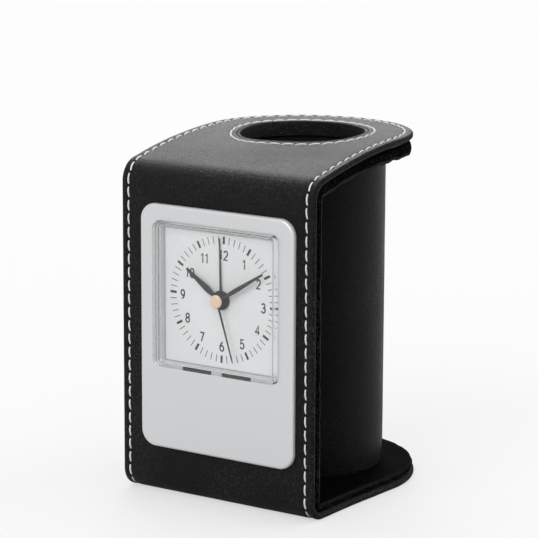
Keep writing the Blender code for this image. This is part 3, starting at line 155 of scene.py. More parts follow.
class ClockSizes(PropertyGroup):
    """The metal face, the lens and the print on the dial."""

    plate_corner: size("Plate corner", "Radius of the plate's corners", 0.0047)
    plate_round: size("Plate edge", "Rounding of the plate's front edge", 0.0008)
    lens_gap: size("Lens gap", "Gap between the lens and the plate", 0.00012)
    lens_corner: size("Lens corner", "Radius of the lens's corners", 0.0018)
    lens_round: size("Lens edge", "Rounding of the lens's front edge", 0.0004)
    lens_wall: size("Lens wall", "Thickness of the lens's side walls", 0.0010)
    lens_front: size("Lens front", "Thickness of the lens's front", 0.0012)
    tick_outer: size("Tick ring", "Outer radius of the ring of marks", 0.0177)
    tick_length: size("Tick length", "Length of the marks", 0.0021)
    hour_tick: size("Hour tick", "Width of the hour marks", 0.00068)
    minute_tick: size("Minute tick", "Width of the minute marks", 0.00020)
    number_height: size("Number height", "Height of the hour numbers", 0.0029)
    number_stroke: size("Number stroke", "Thickness of the numbers' strokes", 0.00042)
    number_across: size("Numbers across", "Radius of the ring of numbers to the sides", 0.0135)
    number_up: size("Numbers up", "Radius of the ring of numbers up and down", 0.0128)
    number_drop: size("Number drop", "How far that ring lies below the dial's centre", 0.0003)
    wide_inset: size("Wide inset", "How much further in a number of two digits stands", 0.0006)
    ink: size("Ink", "Thickness of the print", 0.00002)
    print_shift: size("Print shift", "How far the print lies right of the dial's middle", 0.0003)
    print_turn: FloatProperty(name="Print turn", description="Clockwise turn of the print",
                              default=math.radians(1.3), subtype="ANGLE")
    slot_middle: size("Slot middle", "From the dial's middle line to a sound slot's middle", 0.0066)
    slot_length: size("Slot length", "Length of a sound slot", 0.0096)
    slot_height: size("Slot height", "Height of a sound slot", 0.0010)
    # The dark pads at a slot's bottom are painted shade.
    slot_sink: size("Slot sink", "Depth of the gauze in a sound slot", 0.0002)


class Colours(PropertyGroup):
    """Colours of the finishes, in linear light."""

    leather: colour("Leather", "Panel leather", (0.0060, 0.0056, 0.0058))
    inner_leather: colour("Inner leather", "Covering of the inner layer", (0.0023, 0.0022, 0.0021))
    # Lighter colour of the leather's edges: the cut edge's fibres and the painted highlight along
    # the edge.
    worn_edge: colour("Worn edge", "Fibres along the leather's cut edges", (0.065, 0.063, 0.058))
    # Darker than the panel's leather: painted shade where the panel shades the cup.
    cup_leather: colour("Cup leather", "Leather round the cup", (0.0028, 0.0027, 0.0026))
    thread: colour("Thread", "Stitching", (0.90, 0.89, 0.86))
    plate: colour("Plate", "Metal face", (0.81, 0.82, 0.83))
    dial: colour("Dial", "Dial card", (0.86, 0.87, 0.88))
    print_ink: colour("Print", "Marks and numbers of the dial", (0.030, 0.031, 0.034))
    hands: colour("Hands", "Hour, minute, second and alarm hand", (0.022, 0.023, 0.025))
    cap: colour("Cap", "Cap on the second hand", (0.93, 0.72, 0.51))
    case: colour("Case", "Plastic of the movement case", (0.030, 0.031, 0.034))
    floor: colour("Floor", "Floor and backdrop", (0.930, 0.930, 0.930))


class HolderSettings(PropertyGroup):
    """Everything that a user may change."""

    panel: PointerProperty(type=PanelSizes)
    stitch: PointerProperty(type=StitchSizes)
    clock: PointerProperty(type=ClockSizes)
    colours: PointerProperty(type=Colours)
    seed: IntProperty(name="Seed", description="Seed of the stitches' loose turn", default=7, min=0)


def settings():
    return bpy.context.scene.pen_holder


# Nodes

def feed(tree, value, target):
    """Feeds an input with a socket or a plain value."""
    if isinstance(value, bpy.types.NodeSocket):
        tree.links.new(value, target)
    else:
        target.default_value = value


def add_node(tree, kind, inputs=None, **values):
    """A node with its own settings, and its inputs fed by sockets or plain values."""
    item = tree.nodes.new(kind)
    for name, value in values.items():
        setattr(item, name, value)
    for name, value in (inputs or {}).items():
        feed(tree, value, item.inputs[name])
    return item


def maths(tree, operation, first, second=None):
    """The result of a maths node, fed by sockets or plain numbers."""
    inputs = {0: first} if second is None else {0: first, 1: second}
    return add_node(tree, "ShaderNodeMath", inputs, operation=operation).outputs[0]


def smooth_range(tree, value, low, high):
    """Climbs smoothly from 0 to 1 between two values."""
    return add_node(tree, "ShaderNodeMapRange", {"Value": value, "From Min": low, "From Max": high},
                    interpolation_type="SMOOTHSTEP").outputs["Result"]


def noise_texture(tree, vector, scale, detail):
    """The outputs of a noise texture on a vector."""
    return add_node(tree, "ShaderNodeTexNoise",
                    {"Vector": vector, "Scale": scale, "Detail": detail}).outputs


def mix_colour(tree, factor, first, second):
    """A colour between two, each a socket or a plain one."""
    return add_node(tree, "ShaderNodeMix", {"Factor": factor, "A": first, "B": second},
                    data_type="RGBA").outputs["Result"]


# Values of the shared textures, whose scales are per metre
BEND_SCALE = 260.0
BEND_REACH = 0.6 * MILLIMETRE
CREASE_SHARE = 0.16
PORE_SCALE_SHARE = 1.7
TONE_SCALE = 45.0
TONE_SLOW_SHARE = 0.6
TONE_FINE_SHARE = 0.4
# The flecks are painted shine on the leather's face, and fibres on its cut edge.
FLECK_SCALE_SHARE = 0.9
FLECK_RANGE = (0.52, 0.64)
FLECK_CLOUD_RANGE = (0.25, 0.62)
CLOUD_SCALE = 70.0
NOISE_RANGE = (0.3, 0.7)


def new_group(name, inputs, outputs):
    """An empty shader node group with named inputs and outputs."""
    tree = bpy.data.node_groups.new(name, "ShaderNodeTree")
    for socket, default in inputs:
        tree.interface.new_socket(name=socket, in_out="INPUT",
                                  socket_type="NodeSocketFloat").default_value = default
    for socket in outputs:
        tree.interface.new_socket(name=socket, in_out="OUTPUT", socket_type="NodeSocketFloat")
    return tree, tree.nodes.new("NodeGroupInput").outputs, tree.nodes.new("NodeGroupOutput").inputs


def grain_group():
    """Leather grain: pebbles parted by creases, pores with painted shade in their hollows, a slow
    change of tone, flecks of painted shine.
    """
    tree, source, result = new_group("leather_grain", [("Pebble", 0.0006), ("Crease", 0.5)],
                                     ["Height", "Tone", "Fleck"])
    place = add_node(tree, "ShaderNodeTexCoord").outputs["Object"]
    scale = maths(tree, "DIVIDE", 1.0, source["Pebble"])
    bend = noise_texture(tree, place, BEND_SCALE, detail=2.0)["Color"]
    shift = add_node(tree, "ShaderNodeVectorMath", {0: bend, "Scale": BEND_REACH},
                     operation="SCALE").outputs[0]
    moved = add_node(tree, "ShaderNodeVectorMath", {0: place, 1: shift},
                     operation="ADD").outputs[0]
    cells = add_node(tree, "ShaderNodeTexVoronoi", {"Vector": moved, "Scale": scale},
                     feature="DISTANCE_TO_EDGE")
    creases = smooth_range(tree, cells.outputs["Distance"], 0.0, CREASE_SHARE)
    pore_scale = maths(tree, "MULTIPLY", scale, PORE_SCALE_SHARE)
    pores = noise_texture(tree, place, pore_scale, detail=3.0)["Fac"]
    raised = maths(tree, "MULTIPLY", creases, source["Crease"])
    feed(tree, maths(tree, "ADD", raised, pores), result["Height"])
    slow = noise_texture(tree, place, TONE_SCALE, detail=4.0)["Fac"]
    tone = maths(tree, "MULTIPLY", slow, TONE_SLOW_SHARE)
    # The fine part follows the pores' height, so the tone is darker in their hollows: painted
    # shade.
    fine = maths(tree, "MULTIPLY", pores, TONE_FINE_SHARE)
    feed(tree, maths(tree, "ADD", tone, fine), result["Tone"])
    # Flecks of painted shine, in clouds; the cut edge uses them for its fibres.
    fleck_scale = maths(tree, "MULTIPLY", scale, FLECK_SCALE_SHARE)
    shine = noise_texture(tree, moved, fleck_scale, detail=1.0)["Fac"]
    shine_and_fibre_flecks = maths(tree, "MULTIPLY", smooth_range(tree, shine, *FLECK_RANGE),
                   smooth_range(tree, slow, *FLECK_CLOUD_RANGE))
    feed(tree, shine_and_fibre_flecks, result["Fleck"])
    return tree


def texture_group():
    """Fine moulded or blasted texture with a slow cloud, for plastics and metals."""
    tree, source, result = new_group("fine_texture", [("Grain", 0.0003)], ["Height", "Cloud"])
    place = add_node(tree, "ShaderNodeTexCoord").outputs["Object"]
    scale = maths(tree, "DIVIDE", 1.0, source["Grain"])
    fine = noise_texture(tree, place, scale, detail=2.0)["Fac"]
    cloud = noise_texture(tree, place, CLOUD_SCALE, detail=3.0)["Fac"]
    feed(tree, fine, result["Height"])
    feed(tree, cloud, result["Cloud"])
    return tree


def group_outputs(tree, name, build, **values):
    """The outputs of a group in a material, with the material's own values."""
    group = bpy.data.node_groups.get(name) or build()
    item = add_node(tree, "ShaderNodeGroup", node_tree=group)
    for socket, value in values.items():
        item.inputs[socket.capitalize()].default_value = value
    return item.outputs


def grain_outputs(tree, crease):
    return group_outputs(tree, "leather_grain", grain_group, pebble=settings().panel.pebble,
                         crease=crease)


def texture_outputs(tree, grain):
    return group_outputs(tree, "fine_texture", texture_group, grain=grain)


# Materials

FINISH = "_finish"


def made_once(build):
    """Gives a finish that was made before, or else makes it.

    The ending keeps it apart from the frame's own materials, which have plain names.
    """
    def found_or_made(name, *values, **named_values):
        return bpy.data.materials.get(name + FINISH) or build(name, *values, **named_values)
    return found_or_made


def principled(name, base, roughness, metallic=0.0, specular=0.5):
    """A new finish, its node tree and its shader."""
    material = bpy.data.materials.new(name + FINISH)
    material.use_nodes = True
    shader = material.node_tree.nodes["Principled BSDF"]
    shader.inputs["Base Color"].default_value = (*base, 1.0)
    shader.inputs["Roughness"].default_value = roughness
    shader.inputs["Metallic"].default_value = metallic
    shader.inputs["Specular IOR Level"].default_value = specular
    return material, material.node_tree, shader


def tinted(base, factor):
    """A plain colour times a factor."""
    return (*[min(1.0, value * factor) for value in base], 1.0)


def varied(tree, factor, low, high):
    """A value that a noise moves between two numbers."""
    return add_node(tree, "ShaderNodeMapRange",
                    {"Value": factor, "From Min": NOISE_RANGE[0], "From Max": NOISE_RANGE[1],
                     "To Min": low, "To Max": high}).outputs["Result"]


def varied_colour(tree, factor, base, spread):
    """A colour that a factor makes darker and lighter than its base."""
    return mix_colour(tree, factor, tinted(base, 1 - spread), tinted(base, 1 + spread))


def bump(tree, height, shader, relief):
    """Gives a shader the normal of a height."""
    item = add_node(tree, "ShaderNodeBump", {"Height": height, "Distance": relief})
    feed(tree, item.outputs["Normal"], shader.inputs["Normal"])


def attribute(tree, name):
    """The value of a mesh attribute."""
    return add_node(tree, "ShaderNodeAttribute", attribute_name=name).outputs["Fac"]


def mix_shaders(tree, factor, first, second):
    """Ends a material with a mix of two shaders."""
    mix = add_node(tree, "ShaderNodeMixShader", {"Fac": factor, 1: first, 2: second})
    feed(tree, mix.outputs["Shader"], tree.nodes["Material Output"].inputs["Surface"])


LEATHER_DULL = 0.08
LEATHER_SHINE = 0.06
LEATHER_TONE_SPREAD = 0.5
CUT_EDGE_ROUGHNESS = 0.85
CUT_EDGE_FIBRES = 0.2


@made_once
def leather(name, base, roughness, crease, specular, relief, painted_shine):
    """Leather whose flecks of painted shine are so many times as light as its base colour.

    The attribute "side" marks its cut edge, which is matt and faintly fibrous, and
    "rim" the part of that edge that gets a painted highlight, fainter near the floor.
    """
    material, tree, shader = principled(name, base, roughness, specular=specular)
    grain = grain_outputs(tree, crease)
    side = attribute(tree, "side")
    matt = maths(tree, "MAXIMUM",
                 varied(tree, grain["Tone"], roughness + LEATHER_DULL, roughness - LEATHER_SHINE),
                 maths(tree, "MULTIPLY", side, CUT_EDGE_ROUGHNESS))
    feed(tree, matt, shader.inputs["Roughness"])
    # Painted shine: flecks lighter than the base colour.
    tone_and_shine = mix_colour(tree, grain["Fleck"],
                         varied_colour(tree, grain["Tone"], base, LEATHER_TONE_SPREAD),
                         tinted(base, painted_shine))
    # A painted highlight along the edge, where the rim mark lies.
    line = maths(tree, "MULTIPLY", attribute(tree, "rim"), grain["Tone"])
    fibres = maths(tree, "MULTIPLY", side, grain["Fleck"])
    # The painted edge highlight and the cut edge's real fibres both take the edge's lighter colour.
    worn = maths(tree, "MAXIMUM", line, maths(tree, "MULTIPLY", fibres, CUT_EDGE_FIBRES))
    surface = mix_colour(tree, worn, tone_and_shine, tinted(settings().colours.worn_edge, 1.0))
    feed(tree, surface, shader.inputs["Base Color"])
    bump(tree, grain["Height"], shader, relief)
    return material


def panel_leather():
    return leather("leather", settings().colours.leather, roughness=0.32, crease=0.6,
                   specular=0.18, relief=0.00022, painted_shine=4.8)


def inner_leather():
    """The inner layer's covering is duller than the outer leather."""
    return leather("inner_leather", settings().colours.inner_leather, roughness=0.65, crease=0.5,
                   specular=0.004, relief=0.0002, painted_shine=2.5)


def cup_leather():
    # Its darker colour is painted shade where the panel shades the cup.
    return leather("cup_leather", settings().colours.cup_leather, roughness=0.29, crease=0.6,
                   specular=0.10, relief=0.0002, painted_shine=2.4)


HARD_ROUGHNESS_SPREAD = 0.15


@made_once
def hard_finish(name, base, roughness, metallic=0.0, grain=0.0003, relief=0.000004, spread=0.05):
    """Moulded plastic, card or plain metal with a fine texture and a faint cloud."""
    material, tree, shader = principled(name, base, roughness, metallic)
    fine = texture_outputs(tree, grain)
    cloudy = varied(tree, fine["Cloud"], roughness * (1 - HARD_ROUGHNESS_SPREAD),
                    roughness * (1 + HARD_ROUGHNESS_SPREAD))
    feed(tree, cloudy, shader.inputs["Roughness"])
    feed(tree, varied_colour(tree, fine["Cloud"], base, spread), shader.inputs["Base Color"])
    bump(tree, fine["Height"], shader, relief)
    return material


TWIST_LENGTH = 0.9 * MILLIMETRE
TWIST_STRANDS = 2


@made_once
def twisted_thread(name):
    """Twisted thread, whose strands follow the stitch, painted darker in the grooves between them.
    """
    base = settings().colours.thread
    material, tree, shader = principled(name, base, roughness=0.75, specular=0.2)
    turns = maths(tree, "MULTIPLY", attribute(tree, "thread_along"), 2 * math.pi / TWIST_LENGTH)
    turned = maths(tree, "MULTIPLY", attribute(tree, "thread_around"), 2 * math.pi * TWIST_STRANDS)
    wave = maths(tree, "SINE", maths(tree, "ADD", turns, turned))
    strands = maths(tree, "MULTIPLY", maths(tree, "ADD", wave, 1.0), 0.5)
    # Darker in the grooves between the strands and lighter on their crests: painted shade and
    # highlight.
    feed(tree, varied_colour(tree, strands, base, spread=0.10), shader.inputs["Base Color"])
    bump(tree, strands, shader, relief=0.00006)
    return material


@made_once
def satin_metal(name):
    """Satin metal with a very fine blasted texture, painted a little darker in its pits."""
    base = settings().colours.plate
    material, tree, shader = principled(name, base, roughness=0.36, metallic=0.35)
    fine = texture_outputs(tree, grain=0.00012)
    feed(tree, varied(tree, fine["Cloud"], low=0.32, high=0.40), shader.inputs["Roughness"])
    # The colour follows the texture's height: painted shade in the pits and painted highlight on
    # the bumps.
    feed(tree, varied_colour(tree, fine["Height"], base, spread=0.03), shader.inputs["Base Color"])
    bump(tree, fine["Height"], shader, relief=0.000006)
    return material


@made_once
def clear_plastic(name):
    """Clear plastic that lets the lamps' light through to the dial."""
    material, tree, shader = principled(name, (0.985, 0.99, 0.99), roughness=0.0)
    shader.inputs["Transmission Weight"].default_value = 1.0
    shader.inputs["IOR"].default_value = 1.49
    path = add_node(tree, "ShaderNodeLightPath").outputs
    lit = maths(tree, "MAXIMUM", path["Is Shadow Ray"], path["Is Diffuse Ray"])
    open_way = add_node(tree, "ShaderNodeBsdfTransparent")
    mix_shaders(tree, lit, shader.outputs["BSDF"], open_way.outputs["BSDF"])
    bump(tree, texture_outputs(tree, grain=0.004)["Height"], shader, relief=0.000004)
    return material


# Mesh tools

WELD = 1e-6
FLAT_ANGLE = math.radians(1)
GRID_CLEAR_SHARE = 0.6
FACE_MARGIN = 0.3 * MILLIMETRE
BROKEN_EDGE_SHARE = 0.3


def new_object(name, data):
    """An object in the scene."""
    item = bpy.data.objects.new(name, data)
    bpy.context.scene.collection.objects.link(item)
    return item


class Skin:
    """Points and faces of one closed piece."""

    def __init__(self):
        self.points = []
        self.faces = []

    def add(self, points):
        """Adds points and gives their indices."""
        first = len(self.points)
        self.points.extend(Vector(point) for point in points)
        return list(range(first, len(self.points)))

    def join(self, near, far):
        """Faces between two closed rings of equal length."""
        count = len(near)
        for i in range(count):
            following = (i + 1) % count
            self.faces.append((near[i], near[following], far[following], far[i]))

    def stack(self, rings, closed=False):
        """Joins rings in order, and the last to the first where the stack is closed."""
        pairs = list(zip(rings, rings[1:]))
        if closed:
            pairs.append((rings[-1], rings[0]))
        for near, far in pairs:
            self.join(near, far)

    def cap(self, ring):
        self.faces.append(tuple(ring))

    def fill(self, index, triangles):
        """Adds triangles, whose corners count the points of an index."""
        self.faces.extend(tuple(index[i] for i in face) for face in triangles)

    def piece(self, name, material, sharp_angle=None):
        """The finished object, with its faces turned outwards."""
        mesh = bpy.data.meshes.new(name)
        mesh.from_pydata(self.points, [], self.faces)
        shape = bmesh.new()
        shape.from_mesh(mesh)
        bmesh.ops.recalc_face_normals(shape, faces=shape.faces)
        shape.to_mesh(mesh)
        shape.free()
        mesh.materials.append(material)
        mesh.shade_smooth()
        if sharp_angle:
            mesh.set_sharp_from_angle(angle=math.radians(sharp_angle))
        return new_object(name, mesh)


def mark(piece, name, rings, strength):
    """Stores a strength on the points of some rings under a name, and 0 on the others."""
    values = np.zeros(len(piece.data.vertices))
    for ring in rings:
        values[ring] = [strength(piece.data.vertices[index].co) for index in ring]
    piece.data.attributes.new(name, "FLOAT", "POINT").data.foreach_set("value", values)


def attach(piece, body, slot, *nodes):
    """Makes a finished piece ride on a body and hides the nodes it stands for; its slot is not
    used.
    """
    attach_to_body(piece, body)
    if nodes:
        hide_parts(*nodes)
    return piece


def inside(points, loop):
    """True for each point that lies within a closed loop."""
    points = np.asarray(points)
    loop = np.asarray(loop)
    following = np.roll(loop, -1, axis=0)
    x, y = points[:, 0:1], points[:, 1:2]
    crosses = (loop[:, 1] > y) != (following[:, 1] > y)
    climb = np.where(following[:, 1] == loop[:, 1], 1.0, following[:, 1] - loop[:, 1])
    at = loop[:, 0] + (y - loop[:, 1]) * (following[:, 0] - loop[:, 0]) / climb
    return (np.sum(crosses & (x < at), axis=1) % 2).astype(bool)


def grid_points(border, holes, across, along):
    """An even grid of points within a border, outside its holes and clear of both."""
    low = np.min(border, axis=0)
    high = np.max(border, axis=0)
    columns = np.linspace(low[0], high[0], max(2, round((high[0] - low[0]) / across)) + 1)
    rows = np.linspace(low[1], high[1], max(2, round((high[1] - low[1]) / along)) + 1)
    grid = np.array([(x, y) for y in rows[1:-1] for x in columns[1:-1]])
    grid = grid[inside(grid, border)]
    for hole in holes:
        grid = grid[~inside(grid, hole)]
    clear = GRID_CLEAR_SHARE * min(across, along)
    known = np.array([point for loop in [border, *holes] for point in loop])
    return [(x, y) for x, y in grid
            if np.min(np.hypot(known[:, 0] - x, known[:, 1] - y)) > clear]


def triangulate(border, holes, grid=()):
    """Triangles between a border and its holes, over the points of a grid.

    Their indices count the border's points first, then each hole's, then the grid's.
    """
    loops = [border] + list(holes)
    points = [point for loop in loops for point in loop] + list(grid)
    edges = []
    first = 0
    for loop in loops:
        count = len(loop)
        edges += [(first + i, first + (i + 1) % count) for i in range(count)]
        first += count
    points = [Vector(point) / MILLIMETRE for point in points]
    found = geometry.delaunay_2d_cdt(points, edges, [], 0, WELD)
    origin = [source[0] if source else None for source in found[3]]
    triangles = [tuple(origin[i] for i in face) for face in found[2]]
    triangles = [face for face in triangles if None not in face]
    middles = [sum((points[i] for i in face), Vector((0, 0))) * MILLIMETRE / 3
               for face in triangles]
    keep = inside(middles, border)
    for hole in holes:
        keep &= ~inside(middles, hole)
    return [face for face, kept in zip(triangles, keep) if kept]


def rounded_loop(half_width, half_height, radius, steps=10, middle=(0.0, 0.0)):
    """A rectangle with round corners, as points across and along."""
    loop = []
    for corner, (side, end) in enumerate(((1, 1), (-1, 1), (-1, -1), (1, -1))):
        for i in range(steps + 1):
            angle = math.pi / 2 * (corner + i / steps)
            loop.append((middle[0] + side * (half_width - radius) + radius * math.cos(angle),
                         middle[1] + end * (half_height - radius) + radius * math.sin(angle)))
    return loop


def ring_loop(radius, count):
    """A circle as points across and along."""
    turn = 2 * math.pi / count
    return [(radius * math.cos(i * turn), radius * math.sin(i * turn)) for i in range(count)]


def at_depth(loop, depth, middle=CLOCK):
    """A loop about a middle in the front's plane, set at a depth."""
    return [(middle[0] + x, FRONT_Y + depth, middle[1] + z) for x, z in loop]


def quarter(radius, steps):
    """Steps round an edge: how far in from the side, and how far back from the front."""
    for i in range(steps + 1):
        angle = math.pi / 2 * i / steps
        yield radius * (1 - math.cos(angle)), radius * (1 - math.sin(angle))


def broken_edge(radius):
    """Steps of an opening's small edge: how far out from the wall, and how far back."""
    part = radius * BROKEN_EDGE_SHARE
    return (0.0, radius), (part, part), (radius, 0.0)


def plain_mesh(piece):
    """Replaces a piece's mesh by what its modifiers make of it, and removes them."""
    graph = bpy.context.evaluated_depsgraph_get()
    mesh = bpy.data.meshes.new_from_object(piece.evaluated_get(graph))
    mesh.name = piece.name
    piece.modifiers.clear()
    piece.data = mesh
    return piece


def refined(node, name, material, bevel=0.0, angle=35, segments=2):
    """A copy of a node's solid with its edges softened, to stand for the node."""
    mesh = NODES[node].data.copy()
    mesh.name = name
    shape = bmesh.new()
    shape.from_mesh(mesh)
    bmesh.ops.remove_doubles(shape, verts=shape.verts, dist=WELD)
    bmesh.ops.dissolve_limit(shape, angle_limit=FLAT_ANGLE, verts=shape.verts, edges=shape.edges)
    bmesh.ops.recalc_face_normals(shape, faces=shape.faces)
    shape.to_mesh(mesh)
    shape.free()
    mesh.materials.clear()
    mesh.materials.append(material)
    piece = new_object(name, mesh)
    if bevel:
        step = piece.modifiers.new("softened_edges", "BEVEL")
        step.width = bevel
        step.segments = segments
        step.limit_method = "ANGLE"
        step.angle_limit = math.radians(angle)
        step.use_clamp_overlap = True
        step.harden_normals = False
        plain_mesh(piece)
    piece.data.shade_smooth()
    piece.data.set_sharp_from_angle(angle=math.radians(angle))
    return attach(piece, NODES[node]["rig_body"], SLOTS[node], node)


# The panel's outer line

BULGE_SIDE = 3 * MILLIMETRE
OUTLINE_END = 10
OUTLINE_STEPS = 4000
TOUCH_ROUNDS = 12


def smooth_step(value):
    """Goes smoothly from 0 to 1, and stays there."""
    value = min(max(value, 0.0), 1.0)
    return value * value * (3 - 2 * value)


class PanelLine:
    """The panel's outer line and its outline, from the sizes of the settings."""

    steps = 24

    def __init__(self, sizes):
        self.sizes = sizes
        self.thickness = sizes.outer_layer + sizes.glue_gap + sizes.inner_layer
        depth, tilt = self.corner_touch()
        places = [(CUP_SETBACK + sizes.base_end, 0.0, -math.pi / 2)]
        corner = sizes.base_corner
        for i in range(self.steps + 1):
            angle = math.pi * (1.5 - 0.5 * i / self.steps)
            places.append((corner * (1 + math.cos(angle)), corner * (1 + math.sin(angle)), angle))
        corner = sizes.top_corner
        middle = self.arch(depth)[0] - corner * math.cos(tilt)
        for i in range(self.steps + 1):
            angle = math.pi - (math.pi / 2 - tilt) * i / self.steps
            back, height = corner * (1 + math.cos(angle)), middle + corner * math.sin(angle)
            places.append((back, height, angle))
        for i in range(1, self.steps + 1):
            back = depth + (sizes.arch_length - depth) * i / self.steps
            height, slope = self.arch(back)
            places.append((back, height, math.pi / 2 + math.atan(slope)))
        places.append((CUP_SETBACK + sizes.top_end, HEIGHT, math.pi / 2))
        self.places = [(d, h, a + 2 * math.pi if a < 0 else a) for d, h, a in places]
        self.lengths = [0.0]
        for near, far in zip(self.places, self.places[1:]):
            step = math.hypot(far[0] - near[0], far[1] - near[1])
            self.lengths.append(self.lengths[-1] + step)
        self.front_start = self.lengths[self.steps + 1]
        self.front_end = self.lengths[self.steps + 2]
        self.front_low = self.places[self.steps + 1][1]

    def arch(self, depth):
        """Height and slope of the arched top at a depth."""
        climb, length = self.sizes.top_rise, self.sizes.arch_length
        if depth >= length:
            return HEIGHT, 0.0
        left = 1 - depth / length
        return HEIGHT - climb * left * left, 2 * climb * left / length

    def corner_touch(self):
        """Where the top's bend runs into the arch, and its tilt there."""
        depth = self.sizes.top_corner
        tilt = 0.0
        for _ in range(TOUCH_ROUNDS):
            tilt = math.atan(self.arch(depth)[1])
            depth = self.sizes.top_corner * (1 - math.sin(tilt))
        return depth, tilt

    def at(self, run):
        """Depth, height and outward angle at a run, also past the line's ends."""
        index = int(np.searchsorted(self.lengths, run)) - 1
        index = min(max(index, 0), len(self.lengths) - 2)
        part = (run - self.lengths[index]) / (self.lengths[index + 1] - self.lengths[index])
        near, far = self.places[index], self.places[index + 1]
        turn = min(max(part, 0.0), 1.0)
        return (near[0] + (far[0] - near[0]) * part, near[1] + (far[1] - near[1]) * part,
                near[2] + (far[2] - near[2]) * turn)

    def outward(self, run):
        angle = self.at(run)[2]
        return Vector((0.0, math.cos(angle), math.sin(angle)))

    def base_run(self, depth):
        """The run at which the base has a depth."""
        return self.run_between(depth, range(self.steps + 1), 0)

    def top_run(self, depth):
        """The run at which the top has a depth."""
        last = len(self.places) - 2
        return self.run_between(depth, range(self.steps + 2, last + 1), last)

    def run_between(self, depth, sections, rear):
        """The run of a depth on some sections of the line, also past their rear one."""
        for i in sections:
            near, far = self.places[i][0], self.places[i + 1][0]
            low, high = sorted((near, far))
            if low <= depth <= high or (i == rear and depth > high):
                part = (depth - near) / (far - near)
                return self.lengths[i] + part * (self.lengths[i + 1] - self.lengths[i])
        raise ValueError("depth %.4f is not on the panel" % depth)

    def front_run(self, height):
        """The run at which the front has a height."""
        return self.front_start + height - self.front_low

    def hole_points(self, radius, count):
        """Points round the hole, as (across, run)."""
        return [(x, self.top_run(CUP_SETBACK + y)) for x, y in ring_loop(radius, count)]

    def side_point(self, place, edge):
        """A point of the outline on the +X side, less an edge, as (across, run).

        The place counts 0 to 1 round the base's end, to 2 along its taper, to 3 up the
        straight side, to 4 along the top's taper and to 5 round the top's end.
        """
        sizes = self.sizes
        half = sizes.width / 2 - edge
        section = min(int(place), 4)
        part = place - section
        reach = (sizes.base_end if section < 2 else sizes.top_end) - edge
        if section == 0:
            angle = math.pi / 2 * (1 - part)
            return reach * math.cos(angle), self.base_run(CUP_SETBACK + reach * math.sin(angle))
        if section == 1:
            depth = CUP_SETBACK + (sizes.taper_start - CUP_SETBACK) * part
            return reach + (half - reach) * part, self.base_run(depth)
        if section == 2:
            start = self.base_run(sizes.taper_start)
            return half, start + (self.top_run(sizes.taper_start) - start) * part
        if section == 3:
            depth = sizes.taper_start + (CUP_SETBACK - sizes.taper_start) * part
            return half + (reach - half) * part, self.top_run(depth)
        angle = math.pi / 2 * part
        return reach * math.cos(angle), self.top_run(CUP_SETBACK + reach * math.sin(angle))

    def outline_point(self, place, edge):
        """A point of the whole outline, whose place counts on down the -X side."""
        if place <= OUTLINE_END / 2:
            return self.side_point(place, edge)
        across, run = self.side_point(OUTLINE_END - place, edge)
        return -across, run

    def even_places(self, edge, pitch, parts):
        """Evenly spaced places, a number of parts to a pitch, and how many pitches they make."""
        fine = [OUTLINE_END * i / OUTLINE_STEPS for i in range(OUTLINE_STEPS + 1)]
        points = np.array([self.outline_point(place, edge) for place in fine])
        steps = np.hypot(*np.diff(points, axis=0).T)
        lengths = np.concatenate([[0.0], np.cumsum(steps)])
        count = round(lengths[-1] / pitch)
        wanted = np.linspace(0.0, lengths[-1], count * parts + 1)[:-1]
        return list(np.interp(wanted, lengths, fine)), count

    def bulge(self, across, run):
        """How far the outer face rises in front of the hole."""
        if run < self.front_end:
            return 0.0
        ahead = self.at(run)[0] - CUP_SETBACK + BINDING_RADIUS
        away = Vector((across - BULGE_SIDE, ahead)).length
        return self.sizes.bulge * math.exp(-(away / self.sizes.bulge_reach) ** 2)

    def edge_distance(self, across, run):
        """Roughly how far a point of the top lies from its outline."""
        depth = self.at(run)[0]
        if depth > CUP_SETBACK:
            return self.sizes.top_end - math.hypot(across, depth - CUP_SETBACK)
        return self.sizes.top_end - abs(across)

    def place(self, across, run, inset, extra=0.0):
        """A point at a depth under the outer face, deeper by an extra where that is upright."""
        depth, height, angle = self.at(run)
        out_depth, out_height = math.cos(angle), math.sin(angle)
        inset = inset + extra * out_depth * out_depth
        return Vector((across, FRONT_Y + depth - out_depth * inset, height - out_height * inset))


# The leather layers

STITCH_PARTS = 6
EDGE_STEPS = 5
# The first rings of the edge get a painted highlight, which fades to its least near the floor.
HIGHLIGHT_RINGS = 5
SIDE_RINGS = 10
HIGHLIGHT_FADE = 14 * MILLIMETRE
HIGHLIGHT_LEAST = 0.15
FURROW_STEPS_SHARE = (-1.5, -1.0, -0.6, -0.3, 0.0, 0.3, 0.6, 1.0, 1.5)
FURROW_END_SHARE = 1.4
FURROW_LEAST = 0.65
FURROW_DENT = 0.5
LIP_START = 3
HOLE_CLEARANCE = MILLIMETRE / 10
HOLE_EDGE = MILLIMETRE / 5
WINDOW_CORNER = 2 * MILLIMETRE
WINDOW_CORNER_STEPS = 4
GRID_ACROSS = 2.2 * MILLIMETRE
GRID_ALONG = 1.3 * MILLIMETRE
# The noises' waves per metre, and their third coordinates
EDGE_WAVES = 330.0
SAG_WAVES = 90.0
HEM_SLICE = 0.7
SAG_SLICE = 0.3


def stitch_ring_radius():
    """Radius of the stitching round the hole."""
    return BINDING_RADIUS - settings().panel.binding + settings().stitch.hole_inset


def furrow_depth(distance, index):
    """How deep the thread pulls the leather in, most where it goes through."""
    sizes = settings().stitch
    phase = (index % STITCH_PARTS) / STITCH_PARTS
    dent = 0.5 + 0.5 * math.cos(2 * math.pi * phase)
    width = sizes.furrow / 2
    return sizes.sink * (FURROW_LEAST + FURROW_DENT * dent) * math.exp(-(distance / width) ** 2)


